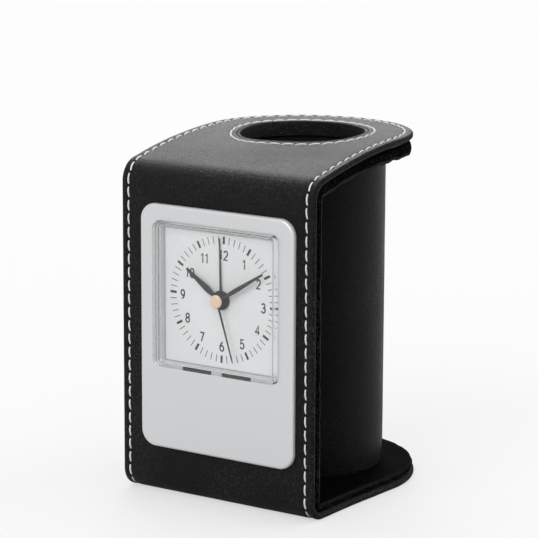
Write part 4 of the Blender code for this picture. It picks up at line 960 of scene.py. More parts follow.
class LeatherLayer:
    """One leather layer of the panel as a closed skin with a turned edge."""

    def __init__(self, near, far, edge=0.0, extra=0.0, stitched=False):
        """It lies between two depths, stands back by an edge, and is thicker in the front."""
        self.near = near
        self.far = far
        self.edge = edge
        self.extra = extra
        self.stitched = stitched
        self.sizes = settings().panel
        self.stitch = settings().stitch
        self.line = PanelLine(self.sizes)
        self.skin = Skin()

    def droop(self, across, run, share):
        """The inner layer hangs away at the rear of the top, and its hem is thick there."""
        if self.stitched or run < self.line.front_end:
            return 0.0
        depth, _, angle = self.line.at(run)
        back = smooth_step((depth - CUP_SETBACK / LIP_START) / CUP_SETBACK)
        near_edge = 1 - smooth_step(self.line.edge_distance(across, run) / self.sizes.hem_reach)
        level = 1 - math.cos(angle) ** 2
        rough = self.sizes.rough_edge * noise.noise(Vector((across, run, HEM_SLICE)) * EDGE_WAVES)
        return near_edge * (self.sizes.lip * back + (self.sizes.hem + rough) * share * level)

    def surface(self, across, run, depth_in, share):
        """A point of the layer: share 0 on its outer face, 1 on its inner one."""
        spot = Vector((across, run, SAG_SLICE + self.near))
        uneven = self.sizes.sag * noise.noise(spot * SAG_WAVES)
        outer = abs(uneven) - self.line.bulge(across, run)
        deep = depth_in + self.droop(across, run, share) + outer * (1 - share)
        return self.line.place(across, run, deep, self.extra * share)

    def ring(self, points, depth_in, share):
        """Adds points of a face and gives their indices."""
        return self.skin.add([self.surface(x, run, depth_in, share) for x, run in points])

    def furrow_rings(self, middle):
        """Steps of the outer face over the stitching: how far in, and at which depth."""
        steps = FURROW_STEPS_SHARE if self.stitched else ()
        rings = [(middle + step * self.stitch.furrow / 2, self.near) for step in steps]
        return rings + [(middle + FURROW_END_SHARE * self.stitch.furrow, self.near)]

    def edge_ring(self, places, edge_in, depth_in):
        """One ring along the edge, with its points as (across, run)."""
        share = (depth_in - self.near) / (self.far - self.near)
        row = []
        points = []
        for index, place in enumerate(places):
            across, run = self.line.outline_point(place, edge_in)
            deep = depth_in
            if not self.stitched:
                spot = Vector((across, run, depth_in))
                worn = self.sizes.rough_edge * noise.noise(spot * EDGE_WAVES)
                fade = max(0.0, 1 - (edge_in - self.edge) / self.sizes.hem_reach)
                across, run = self.line.outline_point(place, edge_in + abs(worn) * fade)
            elif share < 0.5:
                deep += furrow_depth(edge_in - self.stitch.inset, index)
            row.append((across, run))
            points.append(self.surface(across, run, deep, share))
        return row, self.skin.add(points)

    def add_edge(self):
        """The turned edge. Gives its rings and both faces' outlines with their rings."""
        places, _ = self.line.even_places(self.stitch.inset, self.stitch.pitch, STITCH_PARTS)
        edge_round = min(self.sizes.edge_round, (self.far - self.near) / 2)
        turned = list(quarter(edge_round, EDGE_STEPS))
        profile = [(self.edge + side_in, self.far - back) for side_in, back in reversed(turned)]
        profile += [(self.edge + side_in, self.near + back) for side_in, back in turned]
        profile += self.furrow_rings(self.stitch.inset)
        found = [self.edge_ring(places, edge_in, depth_in) for edge_in, depth_in in profile]
        rings = [ring for _, ring in found]
        back_edge = profile[-1][0]
        back_row = [self.line.outline_point(place, back_edge) for place in places]
        back_ring = self.ring(back_row, self.far, 1.0)
        self.skin.stack([back_ring] + rings)
        return rings, (found[-1][0], rings[-1]), (back_row, back_ring)

    def add_hole(self):
        """The hole for the cup. Gives both faces' loops round it with their rings."""
        cut = BINDING_RADIUS + HOLE_CLEARANCE
        stitches = round(2 * math.pi * (cut + self.stitch.hole_inset) / self.stitch.pitch)
        count = stitches * STITCH_PARTS
        middle = stitch_ring_radius()
        profile = [(cut, self.far)]
        profile += [(cut + out, self.near + back) for out, back in broken_edge(HOLE_EDGE)]
        profile += self.furrow_rings(middle)
        rings = []
        row = []
        for radius, depth_in in profile:
            row = self.line.hole_points(radius, count)
            share = (depth_in - self.near) / (self.far - self.near)
            points = []
            for index, (across, run) in enumerate(row):
                deep = depth_in
                if self.stitched and depth_in == self.near:
                    deep += furrow_depth(radius - middle, index)
                points.append(self.surface(across, run, deep, share))
            rings.append(self.skin.add(points))
        self.skin.stack(rings)
        return (row, rings[-1]), (self.line.hole_points(cut, count), rings[0])

    def add_window(self):
        """The window for the movement. Gives its loop and both faces' rings."""
        reach = (CASE_HIGH.x - CASE_LOW.x) / 2 + FACE_MARGIN
        loop = rounded_loop(reach, reach, WINDOW_CORNER, WINDOW_CORNER_STEPS, CLOCK)
        window = [(x, self.line.front_run(z)) for x, z in loop]
        front = self.ring(window, self.near, 0.0)
        rear = self.ring(window, self.far, 1.0)
        self.skin.stack([front, rear])
        return window, front, rear

    def build(self, name, material):
        """The layer as a finished piece, with its edge marked for the painted highlight and the cut
        edge's fibres.
        """
        rings, outer_edge, inner_edge = self.add_edge()
        outer_hole, inner_hole = self.add_hole()
        window, outer_window, inner_window = self.add_window()
        for (outline, edge_ring), (hole, hole_ring), window_ring, depth_in, share in (
                (outer_edge, outer_hole, outer_window, self.near, 0.0),
                (inner_edge, inner_hole, inner_window, self.far, 1.0)):
            grid = grid_points(outline, [hole, window], GRID_ACROSS, GRID_ALONG)
            triangles = triangulate(outline, [hole, window], grid)
            inner = self.ring(grid, depth_in, share)
            self.skin.fill(edge_ring + hole_ring + window_ring + inner, triangles)
        piece = self.skin.piece(name, material)
        # The rim mark: a painted highlight along the edge, fainter near the floor.
        mark(piece, "rim", rings[1:HIGHLIGHT_RINGS],
             lambda point: HIGHLIGHT_LEAST + (1 - HIGHLIGHT_LEAST) * smooth_step(point.z / HIGHLIGHT_FADE))
        mark(piece, "side", rings[1:SIDE_RINGS], lambda point: 1.0)
        return piece


# Patterns by geometry nodes

STITCH_LOOSE = 0.05
STITCH_SEGMENTS = 10
THREAD_SIDES = 8
HOUR_MARKS = 12
MINUTE_MARKS = 60


def geometry_tree(name, inputs):
    """A geometry node tree with named inputs and one geometry output."""
    tree = bpy.data.node_groups.new(name, "GeometryNodeTree")
    tree.interface.new_socket(name="Geometry", in_out="OUTPUT", socket_type="NodeSocketGeometry")
    for socket, kind, default in inputs:
        item = tree.interface.new_socket(name=socket, in_out="INPUT",
                                         socket_type="NodeSocket" + kind)
        if default is not None:
            item.default_value = default
    return tree, tree.nodes.new("NodeGroupInput").outputs, tree.nodes.new("NodeGroupOutput").inputs


def finish_tree(tree, instances, material, result, smooth=True):
    """Ends a tree: real geometry, shading and material."""
    real = add_node(tree, "GeometryNodeRealizeInstances", {"Geometry": instances})
    shade = add_node(tree, "GeometryNodeSetShadeSmooth",
                     {"Geometry": real.outputs["Geometry"], "Shade Smooth": smooth})
    paint = add_node(tree, "GeometryNodeSetMaterial",
                     {"Geometry": shade.outputs["Geometry"], "Material": material})
    feed(tree, paint.outputs["Geometry"], result["Geometry"])


def set_inputs(modifier, **values):
    """Sets a modifier's inputs by the identifiers of their sockets."""
    names = {item.name: item.identifier for item in modifier.node_group.interface.items_tree
             if item.in_out == "INPUT"}
    for name, value in values.items():
        modifier[names[name.replace("_", " ").capitalize()]] = value


def vector_of(tree, **parts):
    """A vector from sockets or numbers for X, Y and Z."""
    return add_node(tree, "ShaderNodeCombineXYZ", parts).outputs[0]


def named(tree, curve, name, value):
    """Stores a value on a curve's points under a name."""
    return add_node(tree, "GeometryNodeStoreNamedAttribute",
                    {"Name": name, "Geometry": curve, "Value": value},
                    data_type="FLOAT", domain="POINT").outputs["Geometry"]


def stitch_tree():
    """Thread stitches along a closed path whose points carry the outward direction."""
    found = bpy.data.node_groups.get("stitch_row")
    if found:
        return found
    tree, source, result = geometry_tree("stitch_row", [
        ("Path", "Geometry", None), ("Count", "Int", 100), ("Length", "Float", 0.003),
        ("Thread", "Float", 0.0005), ("Dip", "Float", 0.85), ("Peak", "Float", 1.0),
        ("Slant", "Float", 0.1), ("Seed", "Int", 0), ("Thread material", "Material", None)])
    curve = add_node(tree, "GeometryNodeMeshToCurve", {"Mesh": source["Path"]})
    spots = add_node(tree, "GeometryNodeCurveToPoints",
                     {"Curve": curve.outputs["Curve"], "Count": source["Count"]},
                     mode="COUNT").outputs

    half = maths(tree, "MULTIPLY", source["Length"], 0.5)
    back = maths(tree, "MULTIPLY", source["Length"], -0.5)
    drop = maths(tree, "MULTIPLY", source["Thread"], maths(tree, "MULTIPLY", source["Dip"], -1.0))
    peak = maths(tree, "MULTIPLY", source["Thread"], source["Peak"])
    arc = add_node(tree, "GeometryNodeCurveQuadraticBezier", {
        "Resolution": STITCH_SEGMENTS, "Start": vector_of(tree, X=back, Z=drop),
        "Middle": vector_of(tree, Z=peak), "End": vector_of(tree, X=half, Z=drop)})
    run = add_node(tree, "GeometryNodeSplineParameter").outputs["Length"]
    radius = maths(tree, "MULTIPLY", source["Thread"], 0.5)
    circle = add_node(tree, "GeometryNodeCurvePrimitiveCircle",
                      {"Resolution": THREAD_SIDES, "Radius": radius}, mode="RADIUS")
    turn = add_node(tree, "GeometryNodeSplineParameter").outputs["Factor"]
    thread = add_node(tree, "GeometryNodeCurveToMesh", {
        "Curve": named(tree, arc.outputs["Curve"], "thread_along", run),
        "Profile Curve": named(tree, circle.outputs["Curve"], "thread_around", turn),
        "Fill Caps": True})

    outward = add_node(tree, "GeometryNodeInputNamedAttribute", {"Name": "outward"},
                       data_type="FLOAT_VECTOR").outputs["Attribute"]
    stand = add_node(tree, "FunctionNodeAlignRotationToVector", {"Vector": outward}, axis="Z")
    turned = add_node(tree, "FunctionNodeAlignRotationToVector",
                      {"Rotation": stand.outputs["Rotation"], "Vector": spots["Tangent"]},
                      axis="X", pivot_axis="Z")
    loose = add_node(tree, "FunctionNodeRandomValue", data_type="FLOAT")
    for socket, value in (("Min", -STITCH_LOOSE), ("Max", STITCH_LOOSE), ("Seed", source["Seed"])):
        feed(tree, value, loose.inputs[socket])
    angle = maths(tree, "ADD", source["Slant"], loose.outputs["Value"])
    slanted = add_node(tree, "FunctionNodeRotateRotation",
                       {"Rotation": turned.outputs["Rotation"],
                        "Rotate By": vector_of(tree, Z=angle)}, rotation_space="LOCAL")
    copies = add_node(tree, "GeometryNodeInstanceOnPoints", {
        "Points": spots["Points"], "Instance": thread.outputs["Mesh"],
        "Rotation": slanted.outputs["Rotation"]})
    finish_tree(tree, copies.outputs["Instances"], source["Thread material"], result)
    return tree


def marks_tree():
    """Sixty marks round the dial, each fifth one wide, on a face turned to -Y."""
    tree, source, result = geometry_tree("dial_marks", [
        ("Radius", "Float", 0.0167), ("Length", "Float", 0.0021), ("Hour width", "Float", 0.0005),
        ("Minute width", "Float", 0.0002), ("Thickness", "Float", 0.00004), ("Turn", "Float", 0.0),
        ("Centre", "Vector", None), ("Ink", "Material", None)])
    ring = add_node(tree, "GeometryNodeMeshCircle",
                    {"Vertices": MINUTE_MARKS, "Radius": source["Radius"]})
    index = add_node(tree, "GeometryNodeInputIndex").outputs[0]
    fifth = maths(tree, "MODULO", index, MINUTE_MARKS / HOUR_MARKS)
    hour = maths(tree, "LESS_THAN", fifth, 0.5)
    turn = vector_of(tree, Z=maths(tree, "MULTIPLY", index, 2 * math.pi / MINUTE_MARKS))
    minute = maths(tree, "SUBTRACT", 1.0, hour)
    both = add_node(tree, "GeometryNodeJoinGeometry")
    for width, wanted in (("Hour width", hour), ("Minute width", minute)):
        box = vector_of(tree, X=source["Length"], Y=source[width], Z=source["Thickness"])
        tick = add_node(tree, "GeometryNodeMeshCube", {"Size": box})
        copies = add_node(tree, "GeometryNodeInstanceOnPoints", {
            "Points": ring.outputs["Mesh"], "Selection": wanted,
            "Instance": tick.outputs["Mesh"], "Rotation": turn})
        feed(tree, copies.outputs["Instances"], both.inputs["Geometry"])
    stand = add_node(tree, "GeometryNodeTransform", {
        "Geometry": both.outputs["Geometry"], "Translation": source["Centre"],
        "Rotation": vector_of(tree, X=math.pi / 2, Y=source["Turn"])})
    finish_tree(tree, stand.outputs["Geometry"], source["Ink"], result, smooth=False)
    return tree


# Stitching

# How far a stitch's ends go in and its middle is drawn out, as shares of the thread
EDGE_ARC_SHARES = (0.75, 0.8)
HOLE_ARC_SHARES = (0.55, 0.45)
THREAD_REST = 0.04 * MILLIMETRE
THREAD_REST_UNDER = 0.40 * MILLIMETRE


def stitch_path(name, points, directions):
    """A closed chain of edges that carries the outward direction of the leather."""
    mesh = bpy.data.meshes.new(name)
    count = len(points)
    mesh.from_pydata(points, [(i, (i + 1) % count) for i in range(count)], [])
    values = mesh.attributes.new("outward", "FLOAT_VECTOR", "POINT")
    values.data.foreach_set("vector", [value for direction in directions for value in direction])
    return new_object(name, mesh)


def sew(name, line, row, count, length, arc):
    """Stitches along a row of points (across, run) of the panel, as one plain mesh.

    The row starts half a stitch further on, so that the stitches' ends lie in the dents.
    """
    sizes = settings().stitch
    half = STITCH_PARTS // 2
    points = []
    directions = []
    for across, run in row[half:] + row[:half]:
        outward = line.outward(run)
        rest = THREAD_REST + max(0.0, -outward.z) * THREAD_REST_UNDER
        points.append(line.place(across, run, rest - line.bulge(across, run)))
        directions.append(outward)
    piece = stitch_path(name, points, directions)
    step = piece.modifiers.new("stitches", "NODES")
    step.node_group = stitch_tree()
    set_inputs(step, count=count, length=length, thread=sizes.thread, dip=arc[0], peak=arc[1],
               slant=sizes.slant, seed=settings().seed, thread_material=twisted_thread("thread"))
    return attach(plain_mesh(piece), "holder", "leather")


# Print on the dial

DIGIT_GAP_SHARE = 0.32
STROKE_LEAN_LIMIT = 0.6


def bow(middle_x, middle_y, reach_x, reach_y, start, end, steps=10):
    """An elliptic arc from one angle to another, in degrees."""
    points = []
    for i in range(steps + 1):
        angle = math.radians(start + (end - start) * i / steps)
        points.append((middle_x + reach_x * math.cos(angle), middle_y + reach_y * math.sin(angle)))
    return points


def oval(middle_x, middle_y, reach_x, reach_y):
    return bow(middle_x, middle_y, reach_x, reach_y, 0, 360, 18)


# Width of each digit as a share of its height, and its strokes in a box of 1 by 1
DIGIT_SHARES = {
    "0": (0.48, [bow(0.5, 0.7, 0.5, 0.3, 0, 180) + bow(0.5, 0.3, 0.5, 0.3, 180, 360)
                 + [(1.0, 0.7)]]),
    "1": (0.20, [[(0.0, 0.78), (1.0, 1.0), (1.0, 0.0)]]),
    "2": (0.48, [bow(0.5, 0.71, 0.48, 0.29, 170, -35) + [(0.0, 0.0), (1.0, 0.0)]]),
    "3": (0.48, [bow(0.45, 0.76, 0.45, 0.24, 160, -90)
                 + bow(0.45, 0.26, 0.53, 0.26, 90, -160)[1:]]),
    "4": (0.50, [[(0.72, 0.0), (0.72, 1.0), (0.0, 0.28), (1.0, 0.28)]]),
    "5": (0.48, [[(0.92, 1.0), (0.14, 1.0), (0.08, 0.52)]
                 + bow(0.46, 0.32, 0.52, 0.32, 120, -155)]),
    "6": (0.48, [oval(0.5, 0.31, 0.5, 0.31), bow(0.92, 0.35, 0.92, 0.65, 180, 100)]),
    "7": (0.48, [[(0.0, 1.0), (1.0, 1.0), (0.35, 0.0)]]),
    "8": (0.48, [oval(0.5, 0.76, 0.44, 0.24), oval(0.5, 0.27, 0.5, 0.27)]),
    "9": (0.48, [oval(0.5, 0.69, 0.5, 0.31), bow(0.08, 0.65, 0.92, 0.65, 0, -80)]),
}


def draw_stroke(skin, points, half, ink):
    """A flat printed stroke along points across and up the dial."""
    path = [Vector(point) for point in points]
    rings = []
    for i, point in enumerate(path):
        before = (point - path[max(i - 1, 0)]).normalized()
        after = (path[min(i + 1, len(path) - 1)] - point).normalized()
        ahead = (before + after).normalized()
        lean = max(STROKE_LEAN_LIMIT, ahead.dot(after if i < len(path) - 1 else before))
        side = Vector((-ahead.y, ahead.x)) * half / lean
        left, right = point - side, point + side
        edges = ((right, -ink), (left, -ink), (left, ink), (right, ink))
        rings.append(skin.add([(at.x, DIAL_LOW.y + back, at.y) for at, back in edges]))
    skin.stack(rings)
    skin.cap(rings[0])
    skin.cap(rings[-1])


# Operators

class PENHOLDER_OT_outer_leather(Operator):
    """Outer leather layer, with the furrow of its stitching"""

    bl_idname = "pen_holder.outer_leather"
    bl_label = "Outer Leather"

    def execute(self, context):
        layer = LeatherLayer(0.0, settings().panel.outer_layer, stitched=True)
        piece = layer.build("panel_outer_leather", panel_leather())
        attach(piece, "holder", "leather", "outer_cover")
        return {"FINISHED"}


class PENHOLDER_OT_inner_leather(Operator):
    """Inner leather layer, which hangs away a little at the rear of the top"""

    bl_idname = "pen_holder.inner_leather"
    bl_label = "Inner Leather"

    def execute(self, context):
        sizes = settings().panel
        near = sizes.outer_layer + sizes.glue_gap
        layer = LeatherLayer(near, near + sizes.inner_layer, edge=sizes.layer_step,
                             extra=sizes.front_inner_layer - sizes.inner_layer)
        piece = layer.build("panel_inner_leather", inner_leather())
        attach(piece, "holder", "leather", "inner_cover")
        return {"FINISHED"}


class PENHOLDER_OT_stitching(Operator):
    """Stitching along the panel's edges and round the hole"""

    bl_idname = "pen_holder.stitching"
    bl_label = "Stitching"

    def execute(self, context):
        sizes = settings().stitch
        line = PanelLine(settings().panel)
        places, count = line.even_places(sizes.inset, sizes.pitch, STITCH_PARTS)
        row = [line.outline_point(place, sizes.inset) for place in places]
        sew("panel_stitching", line, row, count, sizes.length, EDGE_ARC_SHARES)
        radius = stitch_ring_radius()
        count = round(2 * math.pi * radius / sizes.pitch)
        row = line.hole_points(radius, count * STITCH_PARTS)
        sew("hole_stitching", line, row, count, sizes.hole_length, HOLE_ARC_SHARES)
        return {"FINISHED"}


SLEEVE_SIDES = 160
SLEEVE_ROWS = 30
SLEEVE_CLEARANCE = 0.2 * MILLIMETRE
SEAM_DEPTH = 0.35 * MILLIMETRE
SEAM_WIDTH = 0.5 * MILLIMETRE
FOOT_ROLL = 0.3 * MILLIMETRE
FOOT_ROLL_ROWS = 1.2
SLEEVE_UNEVEN = 0.05 * MILLIMETRE
SLEEVE_WAVES = 1.6
SLEEVE_WAVE_ROWS = 6
RIM_STEPS = 8
RIM_SIDES = 96


class PENHOLDER_OT_cup(Operator):
    """Leather round the cup, with its lining, floor and rim"""

    bl_idname = "pen_holder.cup"
    bl_label = "Cup"

    def execute(self, context):
        attach(self.sleeve(cup_leather()), "holder", "cup_leather", "cup_cover")
        attach(self.rim(panel_leather()), "holder", "leather", "hole_binding")
        lining = hard_finish("lining", (0.010, 0.010, 0.011), roughness=0.95, grain=0.0004,
                             relief=0.00004, spread=0.3)
        refined("cup_lining", "cup_lining_cloth", lining)
        refined("cup_floor_pad", "cup_floor_cloth", lining)
        return {"FINISHED"}

    def sleeve(self, material):
        """The leather sleeve, its seam butted at the rear."""
        sizes = settings().panel
        line = PanelLine(sizes)
        under = line.thickness + SLEEVE_CLEARANCE
        skin = Skin()

        def ring(level, outside):
            """A ring at a level, which follows the arched top as it climbs."""
            points = []
            for i in range(SLEEVE_SIDES):
                angle = math.pi / 2 + 2 * math.pi * i / SLEEVE_SIDES
                reach = CUP_RADIUS - (self.worn(i, angle, level) if outside else sizes.binding)
                x, y = reach * math.cos(angle), reach * math.sin(angle)
                top = line.arch(CUP_SETBACK + y)[0] - under
                height = CUP_LOW.z + (top - CUP_LOW.z) * level / SLEEVE_ROWS
                points.append((x, FRONT_Y + CUP_SETBACK + y, height))
            return skin.add(points)

        rings = [ring(level, True) for level in range(SLEEVE_ROWS + 1)]
        rings += [ring(SLEEVE_ROWS, False), ring(0, False)]
        skin.stack(rings, closed=True)
        return skin.piece("cup_leather_wrap", material, 50)

    def worn(self, i, angle, level):
        """How far the sleeve's outside lies in: its seam, its rolled foot and its unevenness."""
        seam = min(i, SLEEVE_SIDES - i) / SLEEVE_SIDES * 2 * math.pi * CUP_RADIUS
        groove = SEAM_DEPTH * math.exp(-(seam / SEAM_WIDTH) ** 2)
        roll = FOOT_ROLL * math.exp(-level * level / FOOT_ROLL_ROWS)
        spot = Vector((math.cos(angle), math.sin(angle), level / SLEEVE_WAVE_ROWS))
        return groove + roll + abs(SLEEVE_UNEVEN * noise.noise(spot * SLEEVE_WAVES))

    def rim(self, material):
        """The leather turned in round the hole."""
        sizes = settings().panel
        line = PanelLine(sizes)
        half = sizes.binding / 2
        under = line.thickness
        skin = Skin()
        profile = [(BINDING_RADIUS, under)]
        for i in range(RIM_STEPS + 1):
            angle = math.pi * i / RIM_STEPS
            profile.append((BINDING_RADIUS - half + half * math.cos(angle),
                            half * (1 - math.sin(angle))))
        profile.append((BINDING_RADIUS - sizes.binding, under))
        rings = []
        for radius, deep in profile:
            ring = []
            for x, y in ring_loop(radius, RIM_SIDES):
                raised = line.bulge(x, line.top_run(CUP_SETBACK + y)) * (1 - deep / under)
                height = line.arch(CUP_SETBACK + y)[0] - deep + raised
                ring.append((x, FRONT_Y + CUP_SETBACK + y, height))
            rings.append(skin.add(ring))
        skin.stack(rings, closed=True)
        return skin.piece("hole_rim_leather", material, 60)


PLATE_CORNER_STEPS = 14
PLATE_EDGE_STEPS = 6
LENS_HOLE_STEPS = 8
LENS_HOLE_EDGE = 0.25 * MILLIMETRE


class PENHOLDER_OT_face_plate(Operator):
    """Satin metal face with a rounded edge"""

    bl_idname = "pen_holder.face_plate"
    bl_label = "Face Plate"

    def execute(self, context):
        sizes = settings().clock
        middle = ((PLATE_LOW.x + PLATE_HIGH.x) / 2, (PLATE_LOW.z + PLATE_HIGH.z) / 2)
        half_width = (PLATE_HIGH.x - PLATE_LOW.x) / 2
        half_height = (PLATE_HIGH.z - PLATE_LOW.z) / 2
        proud = PLATE_LOW.y - FRONT_Y
        rear = PLATE_HIGH.y - FRONT_Y
        reach = LENS_HALF + sizes.lens_gap
        shift = (CLOCK[0] - middle[0], CLOCK[1] - middle[1])
        skin = Skin()

        def outline(inset):
            return rounded_loop(half_width - inset, half_height - inset,
                                sizes.plate_corner - inset, PLATE_CORNER_STEPS)

        def window(out):
            return rounded_loop(reach + out, reach + out, sizes.lens_corner + out,
                                LENS_HOLE_STEPS, shift)

        def wall(steps):
            """A wall through loops at depths. Gives its first and last loop with their rings."""
            rings = [skin.add(at_depth(loop, depth, middle)) for loop, depth in steps]
            skin.stack(rings)
            return (steps[0][0], rings[0]), (steps[-1][0], rings[-1])

        edge = [(outline(0.0), rear)]
        edge += [(outline(inset), proud + back)
                 for inset, back in quarter(sizes.plate_round, PLATE_EDGE_STEPS)]
        edge.append((outline(sizes.plate_round + FACE_MARGIN), proud))
        opening = [(window(0.0), rear)]
        opening += [(window(out), proud + back) for out, back in broken_edge(LENS_HOLE_EDGE)]
        opening.append((window(LENS_HOLE_EDGE + FACE_MARGIN), proud))
        faces = list(zip(wall(edge), wall(opening)))
        for (border, border_ring), (hole, hole_ring) in reversed(faces):
            skin.fill(border_ring + hole_ring, triangulate(border, [hole]))
        piece = skin.piece("face_plate_satin", satin_metal("face_metal"), 50)
        attach(piece, "holder", "face_metal", "face_plate")
        return {"FINISHED"}


LENS_CORNER_LEAST = 0.4 * MILLIMETRE
LENS_EDGE_STEPS = 5
LENS_FILLET = 0.25 * MILLIMETRE
LENS_FILLET_STEPS = 3


class PENHOLDER_OT_lens(Operator):
    """Clear box lens over the dial"""

    bl_idname = "pen_holder.lens"
    bl_label = "Lens"

    def execute(self, context):
        sizes = settings().clock
        front = LENS_LOW.y - FRONT_Y
        rear = LENS_HIGH.y - FRONT_Y
        skin = Skin()

        def ring(inset, depth):
            half = LENS_HALF - inset
            corner = max(sizes.lens_corner - inset, LENS_CORNER_LEAST)
            return skin.add(at_depth(rounded_loop(half, half, corner), depth))

        def shell(wall, face, radius, steps):
            """Rings from the rear up a wall, round an edge and onto a face, which closes it."""
            rings = [ring(wall, rear)]
            rings += [ring(wall + inset, face + back) for inset, back in quarter(radius, steps)]
            rings.append(ring(wall + radius + FACE_MARGIN, face))
            skin.stack(rings)
            skin.cap(rings[-1])
            return rings[0]

        outside = shell(0.0, front, sizes.lens_round, LENS_EDGE_STEPS)
        hollow = shell(sizes.lens_wall, front + sizes.lens_front, LENS_FILLET, LENS_FILLET_STEPS)
        skin.join(outside, hollow)
        piece = skin.piece("lens_clear", clear_plastic("clear_plastic"), 50)
        attach(piece, "holder", "clear_plastic", "lens")
        return {"FINISHED"}


class PENHOLDER_OT_dial(Operator):
    """White dial with its ring of marks and its numbers"""

    bl_idname = "pen_holder.dial"
    bl_label = "Dial"

    def execute(self, context):
        colours = settings().colours
        card = hard_finish("dial_white", colours.dial, roughness=0.5, grain=0.0004, relief=0.000003,
                           spread=0.02)
        refined("dial", "dial_card", card, bevel=0.00005, angle=40)
        ink = hard_finish("dial_print", colours.print_ink, roughness=0.5, grain=0.0002,
                          relief=0.000002, spread=0.15)
        attach(self.marks(ink), "holder", "dial_white")
        attach(self.numbers(ink), "holder", "dial_white")
        return {"FINISHED"}

    def marks(self, ink):
        """The ring of hour and minute marks."""
        sizes = settings().clock
        piece = new_object("dial_marks", bpy.data.meshes.new("dial_marks"))
        step = piece.modifiers.new("marks", "NODES")
        step.node_group = marks_tree()
        centre = (CLOCK[0] + sizes.print_shift, DIAL_LOW.y, CLOCK[1])
        set_inputs(step, radius=sizes.tick_outer - sizes.tick_length / 2, length=sizes.tick_length,
                   hour_width=sizes.hour_tick, minute_width=sizes.minute_tick,
                   thickness=2 * sizes.ink, turn=sizes.print_turn, centre=centre, ink=ink)
        return plain_mesh(piece)

    def numbers(self, ink):
        """The hour numbers, drawn in strokes."""
        sizes = settings().clock
        skin = Skin()
        height = sizes.number_height - sizes.number_stroke
        gap = DIGIT_GAP_SHARE * sizes.number_height
        slant = Matrix.Rotation(-sizes.print_turn, 2)
        centre = Vector((CLOCK[0] + sizes.print_shift, CLOCK[1]))
        for hour in range(1, HOUR_MARKS + 1):
            digits = [DIGIT_SHARES[digit] for digit in str(hour)]
            total = sum(width * height for width, _ in digits) + gap * (len(digits) - 1)
            turn = math.pi / 2 - 2 * math.pi * hour / HOUR_MARKS
            across = sizes.number_across - sizes.wide_inset * (len(digits) - 1)
            left = across * math.cos(turn) - total / 2
            bottom = sizes.number_up * math.sin(turn) - sizes.number_drop - height / 2
            for width, strokes in digits:
                for stroke in strokes:
                    spots = [Vector((left + x * width * height, bottom + y * height))
                             for x, y in stroke]
                    draw_stroke(skin, [centre + slant @ spot for spot in spots],
                                sizes.number_stroke / 2, sizes.ink)
                left += width * height + gap
        return skin.piece("dial_numbers", ink, 30)


class PENHOLDER_OT_hands(Operator):
    """Hour, minute, alarm and second hand, with the cap"""

    bl_idname = "pen_holder.hands"
    bl_label = "Hands"

    def execute(self, context):
        colours = settings().colours
        grey = hard_finish("hand_grey", colours.hands, roughness=0.42, relief=0.000003,
                           spread=0.08)
        for node in ("alarm_hand", "hour_hand", "minute_hand", "second_hand"):
            refined(node, node + "_finished", grey, bevel=0.00006, angle=40)
        cap = hard_finish("copper_cap", colours.cap, roughness=0.35, metallic=0.3, relief=0.000003,
                          spread=0.04)
        refined("second_hand_cap", "second_hand_cap_finished", cap, bevel=0.00012, angle=30,
                segments=4)
        return {"FINISHED"}


# Colour and roughness of each slot of the inner pieces, with what else differs
INNER_FINISHES = {
    "case_grey": dict(base=(0.62, 0.63, 0.64), roughness=0.4, grain=0.0004, relief=0.000006),
    "switch_grey": dict(base=(0.30, 0.30, 0.31), roughness=0.4),
    "steel": dict(base=(0.60, 0.60, 0.61), roughness=0.3, metallic=1.0),
    "nylon": dict(base=(0.75, 0.75, 0.70), roughness=0.45, spread=0.04),
    "magnet": dict(base=(0.10, 0.10, 0.11), roughness=0.35, metallic=0.8),
    "copper_wire": dict(base=(0.62, 0.25, 0.10), roughness=0.35, metallic=0.9),
    "brass": dict(base=(0.70, 0.52, 0.25), roughness=0.3, metallic=1.0),
    "board_green": dict(base=(0.02, 0.14, 0.06), roughness=0.4),
    "card": dict(base=(0.30, 0.27, 0.22), roughness=0.9, grain=0.0004, relief=0.00003, spread=0.15),
}
DARK_PIPES = ("alarm_wheel", "hour_wheel", "minute_pinion")
# How far the edges of the case's pieces are rounded
SOFTENED = {
    "movement_front": 0.0001, "movement_rear": 0.0002, "battery_door": 0.00012,
    "alarm_switch": 0.00015, "time_set_knob": 0.0001, "alarm_set_knob": 0.0001,
    "case_screw_1": 0.00006, "case_screw_2": 0.00006, "case_screw_3": 0.00006,
    "case_screw_4": 0.00006,
}
SLOT_CORNER_STEPS = 3


class PENHOLDER_OT_movement(Operator):
    """Movement case and everything in it"""

    bl_idname = "pen_holder.movement"
    bl_label = "Movement"

    def execute(self, context):
        black = hard_finish("case_black", settings().colours.case, roughness=0.45, grain=0.0004,
                            relief=0.00001, spread=0.2)
        finishes = {"case_black": black}
        for slot, values in INNER_FINISHES.items():
            finishes[slot] = hard_finish(slot, **values)
        # Dark pads in the sound slots: painted shade.
        attach(self.gauze(black), "holder", "case_black")
        for node, bevel in SOFTENED.items():
            refined(node, node + "_moulded", finishes[SLOTS[node]], bevel)
        for node, slot in SLOTS.items():
            if node not in SOFTENED and slot in finishes:
                for place in NODES[node].material_slots:
                    place.material = black if node in DARK_PIPES else finishes[slot]
        return {"FINISHED"}

    def gauze(self, material):
        """Dark pads at the bottom of the two sound slots under the lens's lower wall: painted shade
        in the slots.
        """
        sizes = settings().clock
        half = (CASE_HIGH.z - CASE_LOW.z) / 2
        well = LENS_HALF - sizes.lens_wall
        depth = CASE_LOW.y - FRONT_Y + sizes.slot_sink
        skin = Skin()
        for side in (-1, 1):
            loop = rounded_loop(sizes.slot_length / 2, sizes.slot_height / 2,
                                sizes.slot_height / 6, SLOT_CORNER_STEPS,
                                (side * sizes.slot_middle, -(half + well) / 2))
            front = skin.add(at_depth(loop, depth))
            back = skin.add(at_depth(loop, depth + 2 * sizes.slot_sink))
            skin.join(front, back)
            skin.cap(front)
            skin.cap(back)
        return skin.piece("sound_slot_gauze", material, 30)


